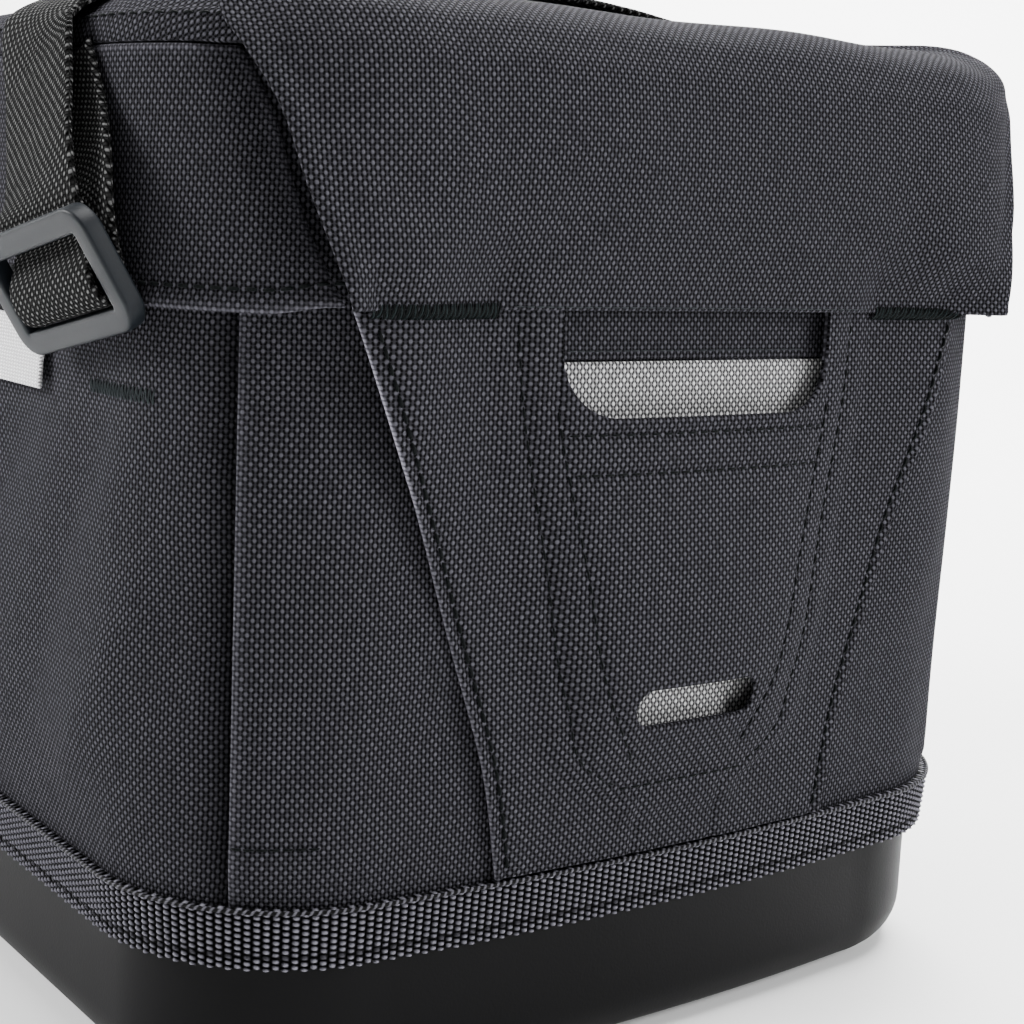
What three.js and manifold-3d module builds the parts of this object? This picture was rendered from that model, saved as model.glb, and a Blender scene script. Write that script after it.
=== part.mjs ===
// Soft tackle bag with a moulded base, a hanging lid and a tool pocket on its right end.
// Millimetres, +Z up. X runs along the bag, -Y is its front, and the origin is the middle of the underside.
import * as THREE from "three";
import { mergeVertices } from "three/addons/utils/BufferGeometryUtils.js";
import Module from "manifold-3d";

const wasm = await Module();
wasm.setup();

// Body plan: a rounded rectangle
const HALF_LENGTH = 188;
const HALF_DEPTH = 123;
const CORNER_RADIUS = 46;

// Clearance between neighbouring pieces, and cloth thicknesses
const GAP = 0.4;
const BODY_WALL = 2.4;
const LID_CLOTH = 2;
const PANEL_CLOTH = 1.6;
const TAPE = 1.2;
const WEBBING = 1.6;

// Heights
const BODY_BOTTOM = 38.4;
const BINDING_BOTTOM = 36;
const BINDING_TOP = 50;
const HEM = 180;
const LID_SEAM = 231;
const RIM = 236.8;

// Heights of the rows of the walls
const WALL_ROWS = [BODY_BOTTOM, BINDING_TOP + 0.5, 72, 95, 118, 141, 162, HEM, RIM];

// Moulded base
const TRAY_INSET = BODY_WALL + GAP;
const TRAY_WALL = 3;
const TRAY_TOP = 47;
const TRAY_EDGE_RADIUS = 14;
const TRAY_EDGE_STEPS = 3;
const TRAY_FLOOR_SCALE = 0.5;
const BINDING_CLOTH = 2.2;
const BINDING_FOOT = 3.8;

// How far the walls swell between their edges, and how far the base's ends bow out
const SIDE_SWELL = 5;
const END_SWELL = 1.5;
const END_BOW = 4;

// Lid: overhang beyond the body at its top seam and at its hem
const LID_OVERHANG_TOP = 4.5;
const LID_OVERHANG_SIDE = 4.5;
const LID_OVERHANG_END = 9.5;
const SKIRT_TUCK = 12;

// Rows of the lid's dome from its seam inwards, where it has turned over, and scaled copies of its last row
const LID_DOME = [
  { inset: 0, z: 231 },
  { inset: 0.6, z: 234.4 },
  { inset: 3, z: 238 },
  { inset: 7, z: 240.9 },
  { inset: 13, z: 242.6 },
  { inset: 26, z: 244.3 },
  { inset: 44, z: 245.6 },
];
const DOME_TURN = 13;
const DOME_FLAT_Z = 244.3;
const RIM_SHARE = 0.2;
const LID_CROWN = [
  { scale: 0.33, z: 248.2 },
  { scale: 0.66, z: 247.2 },
  { scale: 1, z: 245.6 },
];

// Lid end overlay: half-width by height on the end, and its middle line from the hem over the edge
const OVERLAY_WIDTH = [
  { z: 180, half: 92.5 },
  { z: 205, half: 101 },
  { z: 230, half: 112 },
  { z: 238, half: 113 },
  { z: 246, half: 98 },
];
const OVERLAY_LINE = [
  { offset: 2.6, z: 180.4 },
  { offset: 5.6, z: 188 },
  { offset: 8.2, z: 202 },
  { offset: 8.6, z: 216 },
  { offset: 7.6, z: 229 },
  { offset: 5.8, z: 234.8 },
  { offset: 2.2, z: 239.6 },
  { offset: -7, z: 243.3 },
  { offset: -24, z: 245.2 },
];
const OVERLAY_PRESSED = { inner: 56, outer: 78 };
const OVERLAY_FLARE = { reach: 4.2, inner: 62, outer: 92, low: 186, high: 226 };

// Tapering end panel: half-width by height
const PANEL_BOTTOM = BINDING_TOP + GAP;
const PANEL_TOP = HEM - GAP;
const PANEL_WIDTH = [
  { z: 50, half: 51 },
  { z: 80, half: 57 },
  { z: 100, half: 63 },
  { z: 126, half: 71.5 },
  { z: 150, half: 80.5 },
  { z: 180, half: 90 },
];
const PANEL_PULL = { reach: 6.3, inner: 50, outer: 84, low: 112, high: 178 };

// Tool pocket on the right end: half-width of its outer stitch line by height
const POCKET_WIDTH = [
  { z: 66, half: 14 },
  { z: 74, half: 29 },
  { z: 90, half: 36.5 },
  { z: 120, half: 43 },
  { z: 160, half: 51 },
  { z: 180, half: 53 },
];
const POCKET_BOTTOM = 66;
const POCKET_FULL = 96;
const POCKET_DEPTH = 6;
const POCKET_CREST = 3.2;
const LINING = 1;
const LINING_TOP = 168;
const SEAT_WIDTH = 8;
const MOUTH = { half: 41, bottom: 156, radius: 15 };
const SLOT = { halfLength: 18.5, halfHeight: 4.5, z: 88.5 };

// Front tape under the sliders
const FRONT_TAPE = { halfLength: 112, bottom: 156, top: 172 };

// Straps over the lid, which lean outwards as they hang down the front, and the sliders they fold round
const STRAP_X = 119;
const STRAP_LEAN = THREE.MathUtils.degToRad(25);
const STRAP_WIDTH = 38;
const STRAP_ARCH = { height: 4.5, half: 58 };
const STRAP_TURN_Z = 237;
const STRAP_SEWN_Z = 224;
const STRAP_BACK_Z = 190;
const SLIDER = { width: 51, height: 27.5, bar: 5.4, thick: 4.5, corner: 6, windowCorner: 1.5, bevel: 0.8 };
const SLIDER_MIDDLE = { h: -4, n: -0.4, height: 3.2, thick: 2.4 };
const SLIDER_CENTRE = { x: 142, out: 11.7, z: 181.5 };
const SLIDER_TILT = THREE.MathUtils.degToRad(26);
const SLIDER_ROLL = THREE.MathUtils.degToRad(13);
const SLIDER_YAW = THREE.MathUtils.degToRad(9);

// Middle line of the webbing on the front: its distance out from the body by height
const WEBBING_DOWN = [
  { out: 5.7, z: STRAP_SEWN_Z },
  { out: 5.9, z: 213 },
  { out: 7.6, z: 203 },
];
const WEBBING_UP = [
  { out: 13.2, z: 205 },
  { out: 11.5, z: 213 },
  { out: 9.2, z: 226 },
  { out: 6.8, z: STRAP_TURN_Z },
];

// Webbing through the slider: height above its middle and distance in front of its plane
const WEBBING_BEHIND = [
  { h: 9.5, n: -6 },
  { h: 4, n: -4.8 },
  { h: -4, n: -3.6 },
];
const WEBBING_FRONT = [
  { h: -7, n: -2 },
  { h: -6.8, n: 1.2 },
  { h: -4, n: 2.6 },
  { h: 1, n: 1.9 },
  { h: 4.7, n: -1.2 },
  { h: 8, n: -3.8 },
  { h: 14.5, n: -3.7 },
];

// Webbing over the lid: distance from its middle and clearance above the lid
const WEBBING_OVER = [
  { y: 0, clear: 0.9 },
  { y: 20, clear: 0.9 },
  { y: 40, clear: 0.9 },
  { y: 62, clear: 0.9 },
  { y: 90, clear: 0.9 },
  { y: 112, clear: 0.9 },
  { y: 123, clear: 1.6 },
];

const COLOURS = {
  cloth: { color: 0x37363c, roughness: 0.9, metalness: 0 },
  base: { color: 0x232328, roughness: 0.65, metalness: 0 },
  tape: { color: 0x4a4a50, roughness: 0.9, metalness: 0 },
  webbing: { color: 0x303033, roughness: 0.9, metalness: 0 },
  plastic: { color: 0x545c66, roughness: 0.5, metalness: 0 },
  lining: { color: 0xc9cacf, roughness: 0.9, metalness: 0 },
};

// Outline of the body, walked by arc length from the middle of the right end, positive towards the back
const END_STRAIGHT = HALF_DEPTH - CORNER_RADIUS;
const CORNER_ARC = (Math.PI / 2) * CORNER_RADIUS;
const SIDE_STRAIGHT = 2 * (HALF_LENGTH - CORNER_RADIUS);
const HALF_ROUND = 2 * END_STRAIGHT + 2 * CORNER_ARC + SIDE_STRAIGHT;
const SEAM_ALONG = END_STRAIGHT + CORNER_ARC / 2;

function outline(along, offset) {
  const side = along < 0 ? -1 : 1;
  const cornerX = HALF_LENGTH - CORNER_RADIUS;
  const place = (x, y, angle, radius) => [
    x + (radius + offset) * Math.cos(angle),
    side * (y + (radius + offset) * Math.sin(angle)),
  ];
  let rest = Math.abs(along);
  if (rest <= END_STRAIGHT) return place(HALF_LENGTH, rest, 0, 0);
  rest -= END_STRAIGHT;
  if (rest <= CORNER_ARC) return place(cornerX, END_STRAIGHT, rest / CORNER_RADIUS, CORNER_RADIUS);
  rest -= CORNER_ARC;
  if (rest <= SIDE_STRAIGHT) return place(cornerX - rest, HALF_DEPTH, Math.PI / 2, 0);
  rest -= SIDE_STRAIGHT;
  if (rest <= CORNER_ARC) {
    return place(-cornerX, END_STRAIGHT, Math.PI / 2 + rest / CORNER_RADIUS, CORNER_RADIUS);
  }
  return place(-HALF_LENGTH, END_STRAIGHT - (rest - CORNER_ARC), Math.PI, 0);
}

// Arc length of the point of the front that lies at x
function frontAlong(x) {
  return -(END_STRAIGHT + CORNER_ARC + HALF_LENGTH - CORNER_RADIUS - x);
}

// Value of a table's column at a key, straight between rows and constant past its ends
function lookUp(table, key, column, at) {
  const last = table.length - 1;
  if (at <= table[0][key]) return table[0][column];
  if (at >= table[last][key]) return table[last][column];
  const i = table.findIndex((row) => row[key] > at);
  const low = table[i - 1];
  const high = table[i];
  const share = (at - low[key]) / (high[key] - low[key]);
  return low[column] + share * (high[column] - low[column]);
}

const { lerp, smoothstep, clamp } = THREE.MathUtils;

// Steps of a whole turn round the outline, even about the middle of the right end
const LOOP_STEPS = [
  { length: END_STRAIGHT, steps: 2 },
  { length: CORNER_ARC, steps: 6 },
  { length: SIDE_STRAIGHT, steps: 5 },
  { length: CORNER_ARC, steps: 6 },
  { length: END_STRAIGHT, steps: 2 },
];

function loopStations() {
  const half = [0];
  let start = 0;
  for (const { length, steps } of LOOP_STEPS) {
    for (let i = 1; i <= steps; i++) half.push(start + (length * i) / steps);
    start += length;
  }
  const front = half.slice(1, -1).map((along) => -along);
  return [...half, ...front.reverse()];
}

// Geometry from points and triangles, turned so that its faces point out
function closed(points, triangles) {
  const [a, b, c] = [new THREE.Vector3(), new THREE.Vector3(), new THREE.Vector3()];
  let volume = 0;
  for (const [i, j, k] of triangles) {
    volume += a.fromArray(points[i]).dot(b.fromArray(points[j]).cross(c.fromArray(points[k])));
  }
  const turned = volume < 0 ? triangles.map(([i, j, k]) => [i, k, j]) : triangles;
  const geometry = new THREE.BufferGeometry();
  geometry.setAttribute("position", new THREE.Float32BufferAttribute(points.flat(), 3));
  geometry.setIndex(turned.flat());
  geometry.computeVertexNormals();
  return geometry;
}

// Cloth between two surfaces over the same grid, closed round its edge
function slab(columns, rows, outer, inner) {
  const points = [];
  const triangles = [];
  for (const surface of [outer, inner]) {
    for (let j = 0; j <= rows; j++) {
      for (let i = 0; i <= columns; i++) points.push(surface(i / columns, j / rows));
    }
  }
  const at = (face, i, j) => (face * (rows + 1) + j) * (columns + 1) + i;
  const quad = (a, b, c, d) => triangles.push([a, b, c], [a, c, d]);
  for (let j = 0; j < rows; j++) {
    for (let i = 0; i < columns; i++) {
      quad(at(0, i, j), at(0, i + 1, j), at(0, i + 1, j + 1), at(0, i, j + 1));
      quad(at(1, i, j), at(1, i, j + 1), at(1, i + 1, j + 1), at(1, i + 1, j));
    }
    quad(at(0, 0, j), at(0, 0, j + 1), at(1, 0, j + 1), at(1, 0, j));
    quad(at(0, columns, j), at(1, columns, j), at(1, columns, j + 1), at(0, columns, j + 1));
  }
  for (let i = 0; i < columns; i++) {
    quad(at(0, i, 0), at(1, i, 0), at(1, i + 1, 0), at(0, i + 1, 0));
    quad(at(0, i, rows), at(0, i + 1, rows), at(1, i + 1, rows), at(1, i, rows));
  }
  return closed(points, triangles);
}

// Surface through rings round the bag: joined end to end, or closed across at the first and last ring
function loft(rings, joined) {
  const loop = loopStations();
  const count = loop.length;
  const points = rings.flatMap((ring) => loop.map(ring));
  const triangles = [];
  const quad = (a, b, c, d) => triangles.push([a, b, c], [a, c, d]);
  const last = joined ? rings.length : rings.length - 1;
  for (let r = 0; r < last; r++) {
    const low = r * count;
    const high = ((r + 1) % rings.length) * count;
    for (let i = 0; i < count; i++) {
      const next = (i + 1) % count;
      quad(low + i, low + next, high + next, high + i);
    }
  }
  if (joined) return closed(points, triangles);
  for (const [start, turn] of [[0, true], [(rings.length - 1) * count, false]]) {
    for (let i = 0; i < count / 2; i++) {
      const across = [start + i, start + i + 1, start + count - i - 1, start + ((count - i) % count)];
      const corners = [...new Set(across)];
      if (turn) corners.reverse();
      for (let k = 2; k < corners.length; k++) triangles.push([corners[0], corners[k - 1], corners[k]]);
    }
  }
  return closed(points, triangles);
}

const ring = (offset, z, scale = 1) => (along) => {
  const [x, y] = outline(along, offset);
  return [x * scale, y * scale, z];
};

// The base's ends bow out between the corners
function bow(along) {
  const run = Math.min(Math.abs(along), HALF_ROUND - Math.abs(along));
  return END_BOW * (1 - Math.pow(clamp(run / END_STRAIGHT, 0, 1), 2));
}

const baseRing = (offset, z, scale) => (along) => ring(offset + bow(along), z, scale)(along);

function solidOf(geometry) {
  const bare = geometry.clone();
  bare.deleteAttribute("normal");
  bare.deleteAttribute("uv");
  const merged = mergeVertices(bare);
  return new wasm.Manifold(
    new wasm.Mesh({
      numProp: 3,
      vertProperties: new Float32Array(merged.attributes.position.array),
      triVerts: new Uint32Array(merged.index.array),
    }),
  );
}

function geometryOf(solid) {
  const mesh = solid.getMesh();
  const geometry = new THREE.BufferGeometry();
  geometry.setAttribute("position", new THREE.BufferAttribute(mesh.vertProperties, 3));
  geometry.setIndex(new THREE.BufferAttribute(mesh.triVerts, 1));
  geometry.computeVertexNormals();
  return geometry;
}

const group = new THREE.Group();

function addPiece(name, geometry, look, mirror = [1, 1, 1]) {
  const mesh = new THREE.Mesh(geometry, new THREE.MeshStandardMaterial(COLOURS[look]));
  mesh.name = name;
  mesh.scale.set(...mirror);
  group.add(mesh);
}

const MIRROR_X = [-1, 1, 1];
const MIRROR_Y = [1, -1, 1];

// Moulded base tray: wall, rounded lower edge and flat floor, outside and inside
function trayRings(inset, floor, radius) {
  const rings = [baseRing(-inset, TRAY_TOP), baseRing(-inset, floor + radius)];
  for (let i = 1; i <= TRAY_EDGE_STEPS; i++) {
    const angle = (Math.PI / 2) * (i / TRAY_EDGE_STEPS);
    const out = -inset - radius * (1 - Math.cos(angle));
    rings.push(baseRing(out, floor + radius * (1 - Math.sin(angle))));
  }
  rings.push(baseRing(-inset - radius, floor, TRAY_FLOOR_SCALE));
  return rings;
}

function baseTray() {
  const outside = trayRings(TRAY_INSET, 0, TRAY_EDGE_RADIUS);
  const inside = trayRings(TRAY_INSET + TRAY_WALL, TRAY_WALL, TRAY_EDGE_RADIUS - TRAY_WALL);
  return loft([...outside.reverse(), ...inside], false);
}

// Tape folded over the lower edge of the cloth, with a foot that laps onto the tray
function baseBinding() {
  const foot = -TRAY_INSET + GAP;
  const section = [
    { offset: foot, z: BINDING_BOTTOM },
    { offset: foot + BINDING_FOOT, z: BINDING_BOTTOM },
    { offset: GAP + BINDING_CLOTH, z: BINDING_TOP },
    { offset: GAP, z: BINDING_TOP },
    { offset: GAP, z: BODY_BOTTOM - GAP },
    { offset: foot, z: BODY_BOTTOM - GAP },
  ];
  return loft(section.map(({ offset, z }) => baseRing(offset, z)), true);
}

// Outward swell of the walls, nothing at their seams and under the lid, and the base's bow at the binding
function swell(along, z) {
  const rise = clamp((z - BINDING_TOP) / (HEM - BINDING_TOP), 0, 1);
  const upright = Math.sin(Math.PI * Math.pow(rise, 0.8));
  const run = Math.abs(along);
  if (run < SEAM_ALONG) {
    const bulge = END_SWELL * upright * Math.cos((Math.PI / 2) * (run / SEAM_ALONG));
    return bulge + bow(along) * (1 - smoothstep(z, BINDING_TOP, HEM));
  }
  const share = clamp((run - SEAM_ALONG) / (HALF_ROUND - 2 * SEAM_ALONG), 0, 1);
  return SIDE_SWELL * upright * Math.pow(Math.sin(Math.PI * share), 0.6);
}

// Wall between two seams, with columns at the outline's own stations so that neighbours stay parallel
function wall(from, to) {
  const inside = loopStations().filter((along) => along > from && along < to);
  const stations = [from, ...inside.sort((a, b) => a - b), to];
  const [columns, rows] = [stations.length - 1, WALL_ROWS.length - 1];
  const surface = (depth) => (u, v) => {
    const along = stations[Math.round(u * columns)];
    const z = WALL_ROWS[Math.round(v * rows)];
    return [...outline(along, swell(along, z) - depth), z];
  };
  return slab(columns, rows, surface(0), surface(BODY_WALL));
}

// Height of the lid's outside above a point of the plan
const DOME_EDGE = LID_DOME[LID_DOME.length - 1];

function lidHeight(x, y) {
  const length = HALF_LENGTH + LID_OVERHANG_TOP;
  const depth = HALF_DEPTH + LID_OVERHANG_TOP;
  const inset = Math.min(length - Math.abs(x), depth - Math.abs(y));
  if (inset < DOME_EDGE.inset) return lookUp(LID_DOME, "inset", "z", inset);
  const scale = Math.max(Math.abs(x) / (length - DOME_EDGE.inset), Math.abs(y) / (depth - DOME_EDGE.inset));
  return lookUp(LID_CROWN, "scale", "z", scale);
}

// How far the lid hangs out from the body, by height

function overhang(along, z) {
  const end = smoothstep(Math.abs(along), SEAM_ALONG, SEAM_ALONG + CORNER_ARC / 2);
  const hem = lerp(LID_OVERHANG_END, LID_OVERHANG_SIDE, end);
  return lerp(hem, LID_OVERHANG_TOP, clamp((z - HEM) / (LID_SEAM - HEM), 0, 1));
}

function lidTop() {
  const crown = LID_CROWN.slice(0, -1).reverse();
  const rows = (depth) => [
    ...LID_DOME.map(({ inset, z }, i) => {
      const flat = clamp(inset / DOME_TURN, 0, 1);
      const down = i === 0 ? 0 : depth * clamp(flat + RIM_SHARE, 0, 1);
      return ring(LID_OVERHANG_TOP - inset - depth * (1 - flat), z - down);
    }),
    ...crown.map(({ scale, z }) => ring(LID_OVERHANG_TOP - DOME_EDGE.inset, z - depth, scale)),
  ];
  return loft([...rows(0).reverse(), ...rows(LID_CLOTH)], false);
}

// Front skirt: hangs from the seam, and its slanted ends are tucked under the end overlays
function lidSkirt() {
  const rows = 3;
  const columns = 26;
  const surface = (depth) => (u, v) => {
    const z = lerp(HEM, LID_SEAM - GAP, v);
    const start = lookUp(OVERLAY_WIDTH, "z", "half", z) - SKIRT_TUCK;
    const along = -lerp(start, HALF_ROUND - start, u);
    return [...outline(along, overhang(Math.min(-along, HALF_ROUND + along), z) - depth), z];
  };
  return slab(columns, rows, surface(0), surface(LID_CLOTH));
}

// End overlay: over the lid's edge and down to the hem, pressed in at its middle and clear of the skirt
function lidOverlay() {
  const rows = OVERLAY_LINE.length - 1;
  const columns = 20;
  const line = (v) => OVERLAY_LINE[Math.round(v * rows)];
  const surface = (depth) => (u, v) => {
    const { offset, z } = line(v);
    const along = (2 * u - 1) * lookUp(OVERLAY_WIDTH, "z", "half", z);
    const edge = z < LID_SEAM ? overhang(along, z) + 2 * GAP : offset;
    const spread = smoothstep(Math.abs(along), OVERLAY_PRESSED.inner, OVERLAY_PRESSED.outer);
    const inner = Math.max(offset, lerp(offset, edge, spread)) + overlayFlare(along, z);
    const steep = clamp((DOME_FLAT_Z - z) / (DOME_FLAT_Z - LID_SEAM), 0, 1);
    return [...outline(along, inner + depth * steep), z + depth * (1 - steep)];
  };
  return slab(columns, rows, surface(PANEL_CLOTH), surface(0));
}

// The overlay's back corner stands away from the body
function overlayFlare(along, z) {
  const { reach, inner, outer, low, high } = OVERLAY_FLARE;
  return reach * smoothstep(along, inner, outer) * (1 - smoothstep(z, low, high));
}

// Tapering end panel: lift(along, z) is the space that it leaves over the wall
function endPanel(columns, rows, lift) {
  const surface = (depth) => (u, v) => {
    const z = lerp(PANEL_BOTTOM, PANEL_TOP, v);
    const along = (2 * u - 1) * lookUp(PANEL_WIDTH, "z", "half", z);
    const space = lift(along, z) + cornerPull(along, z);
    return [...outline(along, swell(along, z) + space + depth), z];
  };
  return slab(columns, rows, surface(PANEL_CLOTH), surface(0));
}

// The sewn lid overlay pulls the panel's upper corners away from the wall
function cornerPull(along, z) {
  const { reach, inner, outer, low, high } = PANEL_PULL;
  return reach * smoothstep(Math.abs(along), inner, outer) * smoothstep(z, low, high);
}

const pocketHalf = (z) => lookUp(POCKET_WIDTH, "z", "half", z);

function pocketLift(along, z) {
  const half = pocketHalf(z);
  const run = Math.abs(along);
  const across = 1 - smoothstep(run, half + 1, half + SEAT_WIDTH);
  const seat = (LINING + GAP) * across * smoothstep(z, POCKET_BOTTOM - SEAT_WIDTH, POCKET_BOTTOM - 1);
  const rise = smoothstep(z, POCKET_BOTTOM, POCKET_FULL);
  const bulge = POCKET_DEPTH * rise * (1 - Math.pow(clamp(run / half, 0, 1), POCKET_CREST));
  return GAP + seat + bulge;
}

// Cutter along X through the right end
function endCutter(shape) {
  const reach = 40;
  const settings = { depth: reach, bevelEnabled: false, curveSegments: 8 };
  const geometry = new THREE.ExtrudeGeometry(shape, settings);
  geometry.rotateX(Math.PI / 2);
  geometry.rotateZ(Math.PI / 2);
  geometry.translate(HALF_LENGTH - reach / 4, 0, 0);
  return solidOf(geometry);
}

function mouthShape() {
  const { half, bottom, radius } = MOUTH;
  const above = PANEL_TOP + SEAT_WIDTH;
  const shape = new THREE.Shape();
  shape.moveTo(-half, above);
  shape.lineTo(-half, bottom + radius);
  shape.absarc(-half + radius, bottom + radius, radius, Math.PI, 1.5 * Math.PI, false);
  shape.lineTo(half - radius, bottom);
  shape.absarc(half - radius, bottom + radius, radius, -0.5 * Math.PI, 0, false);
  shape.lineTo(half, above);
  return shape;
}

function slotShape() {
  const { halfLength, halfHeight, z } = SLOT;
  const run = halfLength - halfHeight;
  const shape = new THREE.Shape();
  shape.absarc(run, z, halfHeight, -0.5 * Math.PI, 0.5 * Math.PI, false);
  shape.absarc(-run, z, halfHeight, 0.5 * Math.PI, 1.5 * Math.PI, false);
  return shape;
}

function plierPanel() {
  const whole = solidOf(endPanel(22, 14, pocketLift));
  return geometryOf(whole.subtract(endCutter(mouthShape())).subtract(endCutter(slotShape())));
}

// Cloth that lies on the right end's wall, from one height to another and as wide as the pocket
function pocketCloth(bottom, top, thickness, rows) {
  const columns = 10;
  const surface = (depth) => (u, v) => {
    const z = lerp(bottom, top, v);
    const along = (2 * u - 1) * pocketHalf(z);
    return [...outline(along, swell(along, z) + GAP + depth), z];
  };
  return slab(columns, rows, surface(thickness), surface(0));
}

function frontTape() {
  const { halfLength, bottom, top } = FRONT_TAPE;
  const surface = (depth) => (u, v) => {
    const along = frontAlong(lerp(halfLength, -halfLength, u));
    const z = lerp(bottom, top, v);
    return [...outline(along, swell(along, z) + GAP + depth), z];
  };
  return slab(12, 1, surface(TAPE), surface(0));
}

// Where the strap's middle line hangs on the front, and which way its width runs there
const strapX = (z) => STRAP_X + Math.tan(STRAP_LEAN) * Math.max(0, STRAP_TURN_Z - z);

function strapCross(z) {
  const lean = STRAP_LEAN * smoothstep(STRAP_TURN_Z - z, 0, STRAP_TURN_Z - STRAP_SEWN_Z);
  return new THREE.Vector3(Math.cos(lean), 0, Math.sin(lean));
}

// Slider frame: w across, h up and n out of its plane
const across = new THREE.Vector3(1, 0, 0);
const tiltUp = new THREE.Vector3(0, -Math.sin(SLIDER_TILT), Math.cos(SLIDER_TILT));
const upright = new THREE.Vector3(0, 0, 1);
const sliderW = across.clone().multiplyScalar(Math.cos(SLIDER_ROLL));
sliderW.addScaledVector(tiltUp, Math.sin(SLIDER_ROLL)).applyAxisAngle(upright, SLIDER_YAW);
const sliderH = tiltUp.clone().multiplyScalar(Math.cos(SLIDER_ROLL));
sliderH.addScaledVector(across, -Math.sin(SLIDER_ROLL)).applyAxisAngle(upright, SLIDER_YAW);
const sliderN = sliderW.clone().cross(sliderH);
const sliderCentre = new THREE.Vector3(SLIDER_CENTRE.x, -HALF_DEPTH - SLIDER_CENTRE.out, SLIDER_CENTRE.z);

function inSlider(h, n) {
  return sliderCentre.clone().addScaledVector(sliderH, h).addScaledVector(sliderN, n);
}

function roundedBox(width, height, corner) {
  const [w, h] = [width / 2, height / 2];
  const shape = new THREE.Shape();
  shape.absarc(w - corner, h - corner, corner, 0, 0.5 * Math.PI, false);
  shape.absarc(-w + corner, h - corner, corner, 0.5 * Math.PI, Math.PI, false);
  shape.absarc(-w + corner, -h + corner, corner, Math.PI, 1.5 * Math.PI, false);
  shape.absarc(w - corner, -h + corner, corner, 1.5 * Math.PI, 2 * Math.PI, false);
  return shape;
}

function slider() {
  const { width, height, bar, thick, corner, windowCorner, bevel } = SLIDER;
  const frame = roundedBox(width, height, corner);
  frame.holes.push(roundedBox(width - 2 * bar, height - 2 * bar, windowCorner));
  const around = new THREE.ExtrudeGeometry(frame, {
    depth: thick - 2 * bevel,
    bevelThickness: bevel,
    bevelSize: bevel,
    bevelOffset: -bevel,
    bevelSegments: 1,
    curveSegments: 3,
  });
  around.translate(0, 0, bevel - thick / 2);
  const middle = new THREE.BoxGeometry(width - bar, SLIDER_MIDDLE.height, SLIDER_MIDDLE.thick);
  middle.translate(0, SLIDER_MIDDLE.h, SLIDER_MIDDLE.n);
  const whole = geometryOf(solidOf(around).add(solidOf(middle)));
  const place = new THREE.Matrix4().makeBasis(sliderW, sliderH, sliderN).setPosition(sliderCentre);
  return whole.applyMatrix4(place);
}

// Strap: sewn to the front skirt, down behind itself, round the slider's middle bar, up again, over the lid
// in a low arch, and down to where it is sewn to the back skirt
function strapStations() {
  const onFront = ({ out, z }) => ({
    point: new THREE.Vector3(strapX(z), -HALF_DEPTH - out, z),
    cross: strapCross(z),
  });
  const atSlider = ({ h, n }) => ({ point: inSlider(h, n), cross: sliderW });
  const overLid = ({ y, clear }) => {
    const { height, half } = STRAP_ARCH;
    const arch = height * Math.pow(Math.cos((Math.PI / 2) * clamp(y / half, -1, 1)), 2);
    const z = lidHeight(STRAP_X - STRAP_WIDTH / 2, y) + clear + WEBBING / 2 + arch;
    return { point: new THREE.Vector3(STRAP_X, y, z), cross: across };
  };
  const onBack = (z, out) => ({ point: new THREE.Vector3(STRAP_X, HALF_DEPTH + out, z), cross: across });
  const forwards = WEBBING_OVER.slice(1).reverse().map(({ y, clear }) => ({ y: -y, clear }));
  const resting = LID_OVERHANG_SIDE + GAP + WEBBING / 2;
  return [
    ...WEBBING_DOWN.map(onFront),
    ...[...WEBBING_BEHIND, ...WEBBING_FRONT].map(atSlider),
    ...WEBBING_UP.map(onFront),
    ...[...forwards, ...WEBBING_OVER].map(overLid),
    onBack(STRAP_TURN_Z, resting + GAP),
    ...[LID_SEAM - STRAP_WIDTH / 4, STRAP_BACK_Z].map((z) => onBack(z, resting)),
  ];
}

function strap() {
  const stations = strapStations();
  const curve = new THREE.CatmullRomCurve3(stations.map(({ point }) => point), false, "centripetal");
  const steps = 2 * (stations.length - 1);
  const frameAt = (t) => {
    const i = Math.min(Math.floor(t * (stations.length - 1)), stations.length - 2);
    const share = t * (stations.length - 1) - i;
    const cross = stations[i].cross.clone().lerp(stations[i + 1].cross, share).normalize();
    const thick = curve.getTangent(t).cross(cross).normalize();
    return { point: curve.getPoint(t), cross, thick };
  };
  const surface = (depth) => (u, v) => {
    const { point, cross, thick } = frameAt(v);
    point.addScaledVector(cross, (u - 0.5) * STRAP_WIDTH).addScaledVector(thick, depth);
    return point.toArray();
  };
  return slab(1, steps, surface(WEBBING / 2), surface(-WEBBING / 2));
}

addPiece("base_tray", baseTray(), "base");
addPiece("base_binding", baseBinding(), "tape");

const sideWall = wall(-(HALF_ROUND - SEAM_ALONG - GAP / 2), -SEAM_ALONG - GAP / 2);
addPiece("body_front_panel", sideWall, "cloth");
addPiece("body_back_panel", sideWall, "cloth", MIRROR_Y);
const endWall = wall(-SEAM_ALONG + GAP / 2, SEAM_ALONG - GAP / 2);
addPiece("body_right_panel", endWall, "cloth");
addPiece("body_left_panel", endWall, "cloth", MIRROR_X);

addPiece("plier_panel", plierPanel(), "cloth");
addPiece("pocket_lining", pocketCloth(POCKET_BOTTOM + 2, LINING_TOP, LINING, 6), "lining");
addPiece("pocket_facing", pocketCloth(LINING_TOP + GAP, PANEL_TOP, LINING, 1), "cloth");
addPiece("plain_end_panel", endPanel(18, 6, () => GAP), "cloth", MIRROR_X);

addPiece("lid_top", lidTop(), "cloth");
addPiece("lid_front_skirt", lidSkirt(), "cloth");
addPiece("lid_back_skirt", lidSkirt(), "cloth", MIRROR_Y);
addPiece("lid_right_overlay", lidOverlay(), "cloth");
addPiece("lid_left_overlay", lidOverlay(), "cloth", MIRROR_X);

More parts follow.
